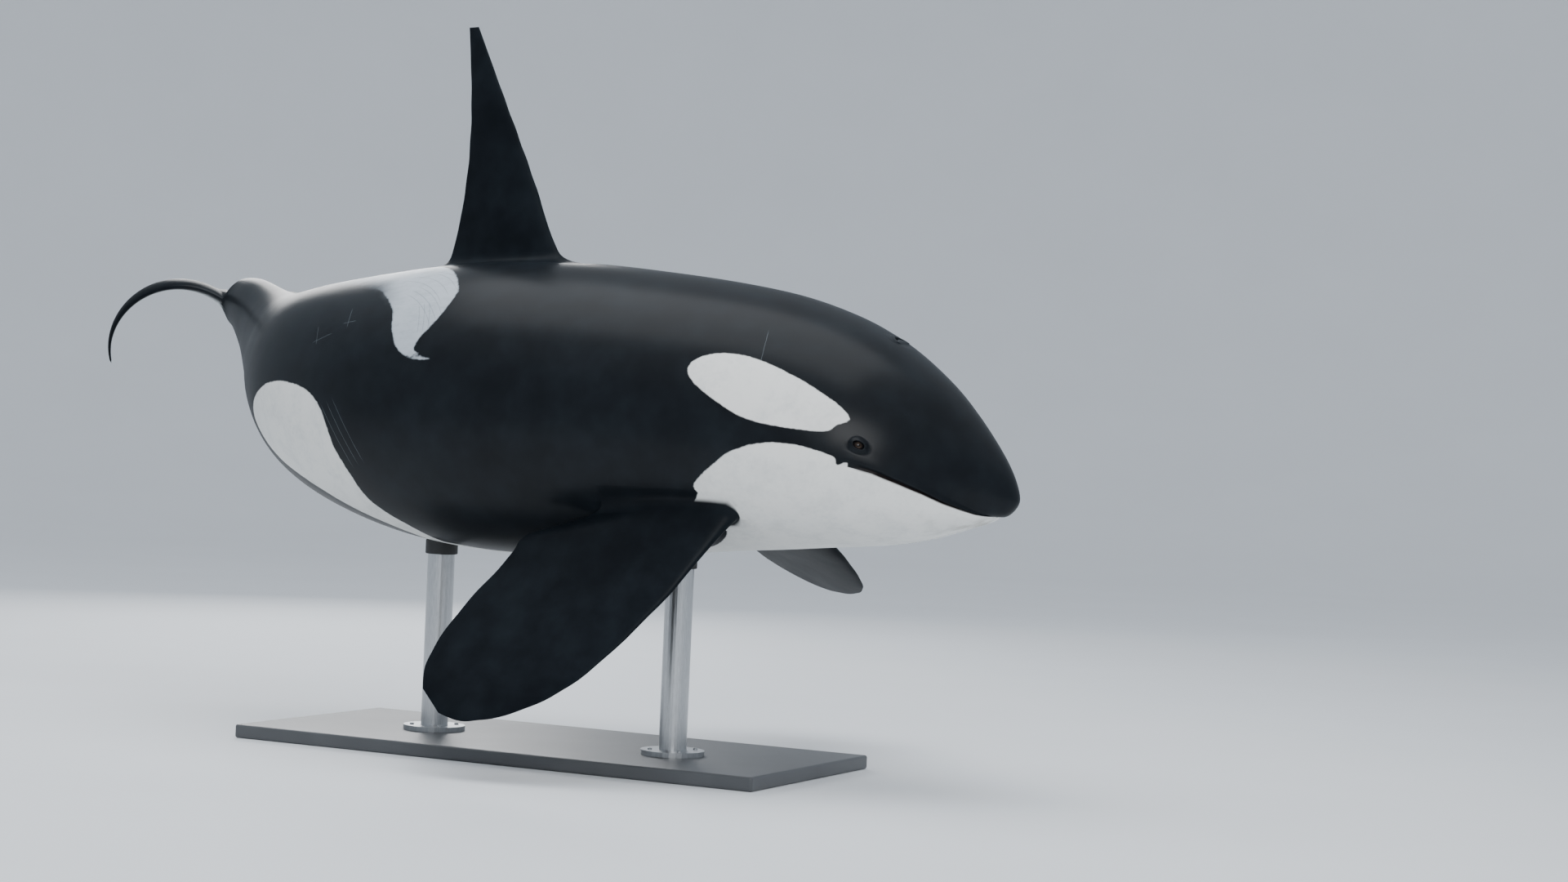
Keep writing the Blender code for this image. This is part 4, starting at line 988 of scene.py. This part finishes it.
SLEEVE = ((ROD_RADIUS, -SLEEVE_HEIGHT), (SLEEVE_RADIUS - BEVEL, -SLEEVE_HEIGHT),
          (SLEEVE_RADIUS, BEVEL - SLEEVE_HEIGHT), (SLEEVE_RADIUS, -BEVEL), (SLEEVE_RADIUS - BEVEL, 0.0),
          (ROD_RADIUS, 0.0), (ROD_RADIUS, -SLEEVE_HEIGHT))


def turned(name, profile, centre, sides, finish, sharp=35.0):
    """A turned piece: a profile of radii and heights carried round an upright axis."""
    profile = np.array(profile)
    turn = np.linspace(0.0, 2.0 * np.pi, sides, endpoint=False)
    rounds = np.stack((np.cos(turn), np.sin(turn), 0.0 * turn), axis=-1)
    rows = np.array(centre) + profile[:, :1, None] * rounds + profile[:, 1:, None] * (0.0, 0.0, 1.0)
    surface = Surface()
    surface.add(rows, np.zeros(rows.shape[:2] + (0,)), closed=True)
    piece = surface.to_object(name, (), sharp)
    piece.data.materials.append(finish.material)
    return piece


for rod in RODS:
    low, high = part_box(rod)
    x, y = (low[0] + high[0]) / 2.0, (low[1] + high[1]) / 2.0
    sleeve = turned(rod + "_sleeve", SLEEVE, (x, y, high[2] - BEVEL), 64, rubber_finish)
    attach(sleeve, "root")
    flange_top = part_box("stand_base")[1][2] + FLANGE_HEIGHT
    for corner in range(4):
        turn = np.radians(45.0 + 90.0 * corner)
        place = (x + SCREW_CIRCLE * np.cos(turn), y + SCREW_CIRCLE * np.sin(turn), flange_top)
        screw = turned(f"{rod}_screw_{corner + 1}", SCREW_HEAD, place, 24, rod_finish)
        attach(screw, "root")


# The studio: a pale round floor that sweeps up into a wall all round, so that every view has a plain ground.
# Three soft lights and a pale sky light it.

FLOOR_RADIUS = 36.0
WALL_CURVE = 14.0
WALL_HEIGHT = 24.0
FLOOR_DROP = 0.0005  # the floor lies this far under the board
floor_finish = Finish("pale_floor", Roughness=0.75)
floor_clouds = floor_finish.noise(0.6, 3.0)
floor_finish.feed(Base_Color=floor_finish.mix(floor_clouds, (0.74, 0.76, 0.78), (0.79, 0.81, 0.83)))
sweep = np.radians(np.linspace(0.0, 90.0, 25))[1:]
wall_foot = FLOOR_RADIUS - WALL_CURVE
floor_profile = np.concatenate((
    ((0.001, 0.0), (10.0, 0.0), (wall_foot, 0.0)),
    np.stack((wall_foot + WALL_CURVE * np.sin(sweep), WALL_CURVE * (1.0 - np.cos(sweep))), axis=-1),
    ((FLOOR_RADIUS, WALL_HEIGHT),),
))
turned("studio_floor", floor_profile, (0.0, 0.0, -FLOOR_DROP), 128, floor_finish, 60.0)


def soft_light(name, place, aim, size, power, colour=(1.0, 1.0, 1.0)):
    """A square soft box at a place, turned towards a point."""
    data = bpy.data.lights.new(name, "AREA")
    data.shape = "RECTANGLE"
    data.size, data.size_y = size
    data.energy = power
    data.color = colour
    lamp = bpy.data.objects.new(name, data)
    lamp.location = place
    lamp.rotation_euler = (Vector(aim) - Vector(place)).to_track_quat("-Z", "Y").to_euler()
    bpy.context.scene.collection.objects.link(lamp)


soft_light("top_light", (-0.5, -0.5, 8.5), (-0.5, 0.0, 1.5), (10.0, 6.0), 620.0, (0.94, 0.97, 1.0))
soft_light("key_light", (6.5, -9.0, 6.0), (0.5, 0.0, 1.6), (5.0, 4.0), 520.0)
soft_light("rear_light", (-7.0, 8.0, 5.0), (-0.5, 0.0, 1.8), (4.0, 3.0), 380.0)
world = bpy.data.worlds.new("studio_world")
world.use_nodes = True
world.node_tree.nodes["Background"].inputs["Color"].default_value = (0.86, 0.92, 1.0, 1.0)
world.node_tree.nodes["Background"].inputs["Strength"].default_value = 0.9
bpy.context.scene.world = world


# The camera: level with the body, ahead of its right side, turned a little to the left and tipped on its
# axis, as it was when the photo was taken.

CAMERA_PLACE = (7.603, -12.733, 1.701)
CAMERA_TURN = 26.45
CAMERA_TILT = -0.19
CAMERA_ROLL = 2.48
CAMERA_LENS = 66.2

turn, tilt, roll = np.radians((CAMERA_TURN, CAMERA_TILT, CAMERA_ROLL))
forward = Vector((-np.sin(turn) * np.cos(tilt), np.cos(turn) * np.cos(tilt), np.sin(tilt)))
level = Vector((np.cos(turn), np.sin(turn), 0.0))
upright = level.cross(forward)
right_hand = np.cos(roll) * level + np.sin(roll) * upright
overhead = -np.sin(roll) * level + np.cos(roll) * upright
camera = bpy.data.objects.new("camera", bpy.data.cameras.new("camera"))
camera.data.lens = CAMERA_LENS
camera.data.sensor_width = 36.0
camera.data.clip_end = 200.0
camera_axes = Matrix((right_hand, overhead, -forward)).transposed().to_4x4()
camera.matrix_world = Matrix.Translation(CAMERA_PLACE) @ camera_axes
bpy.context.scene.collection.objects.link(camera)
bpy.context.scene.camera = camera
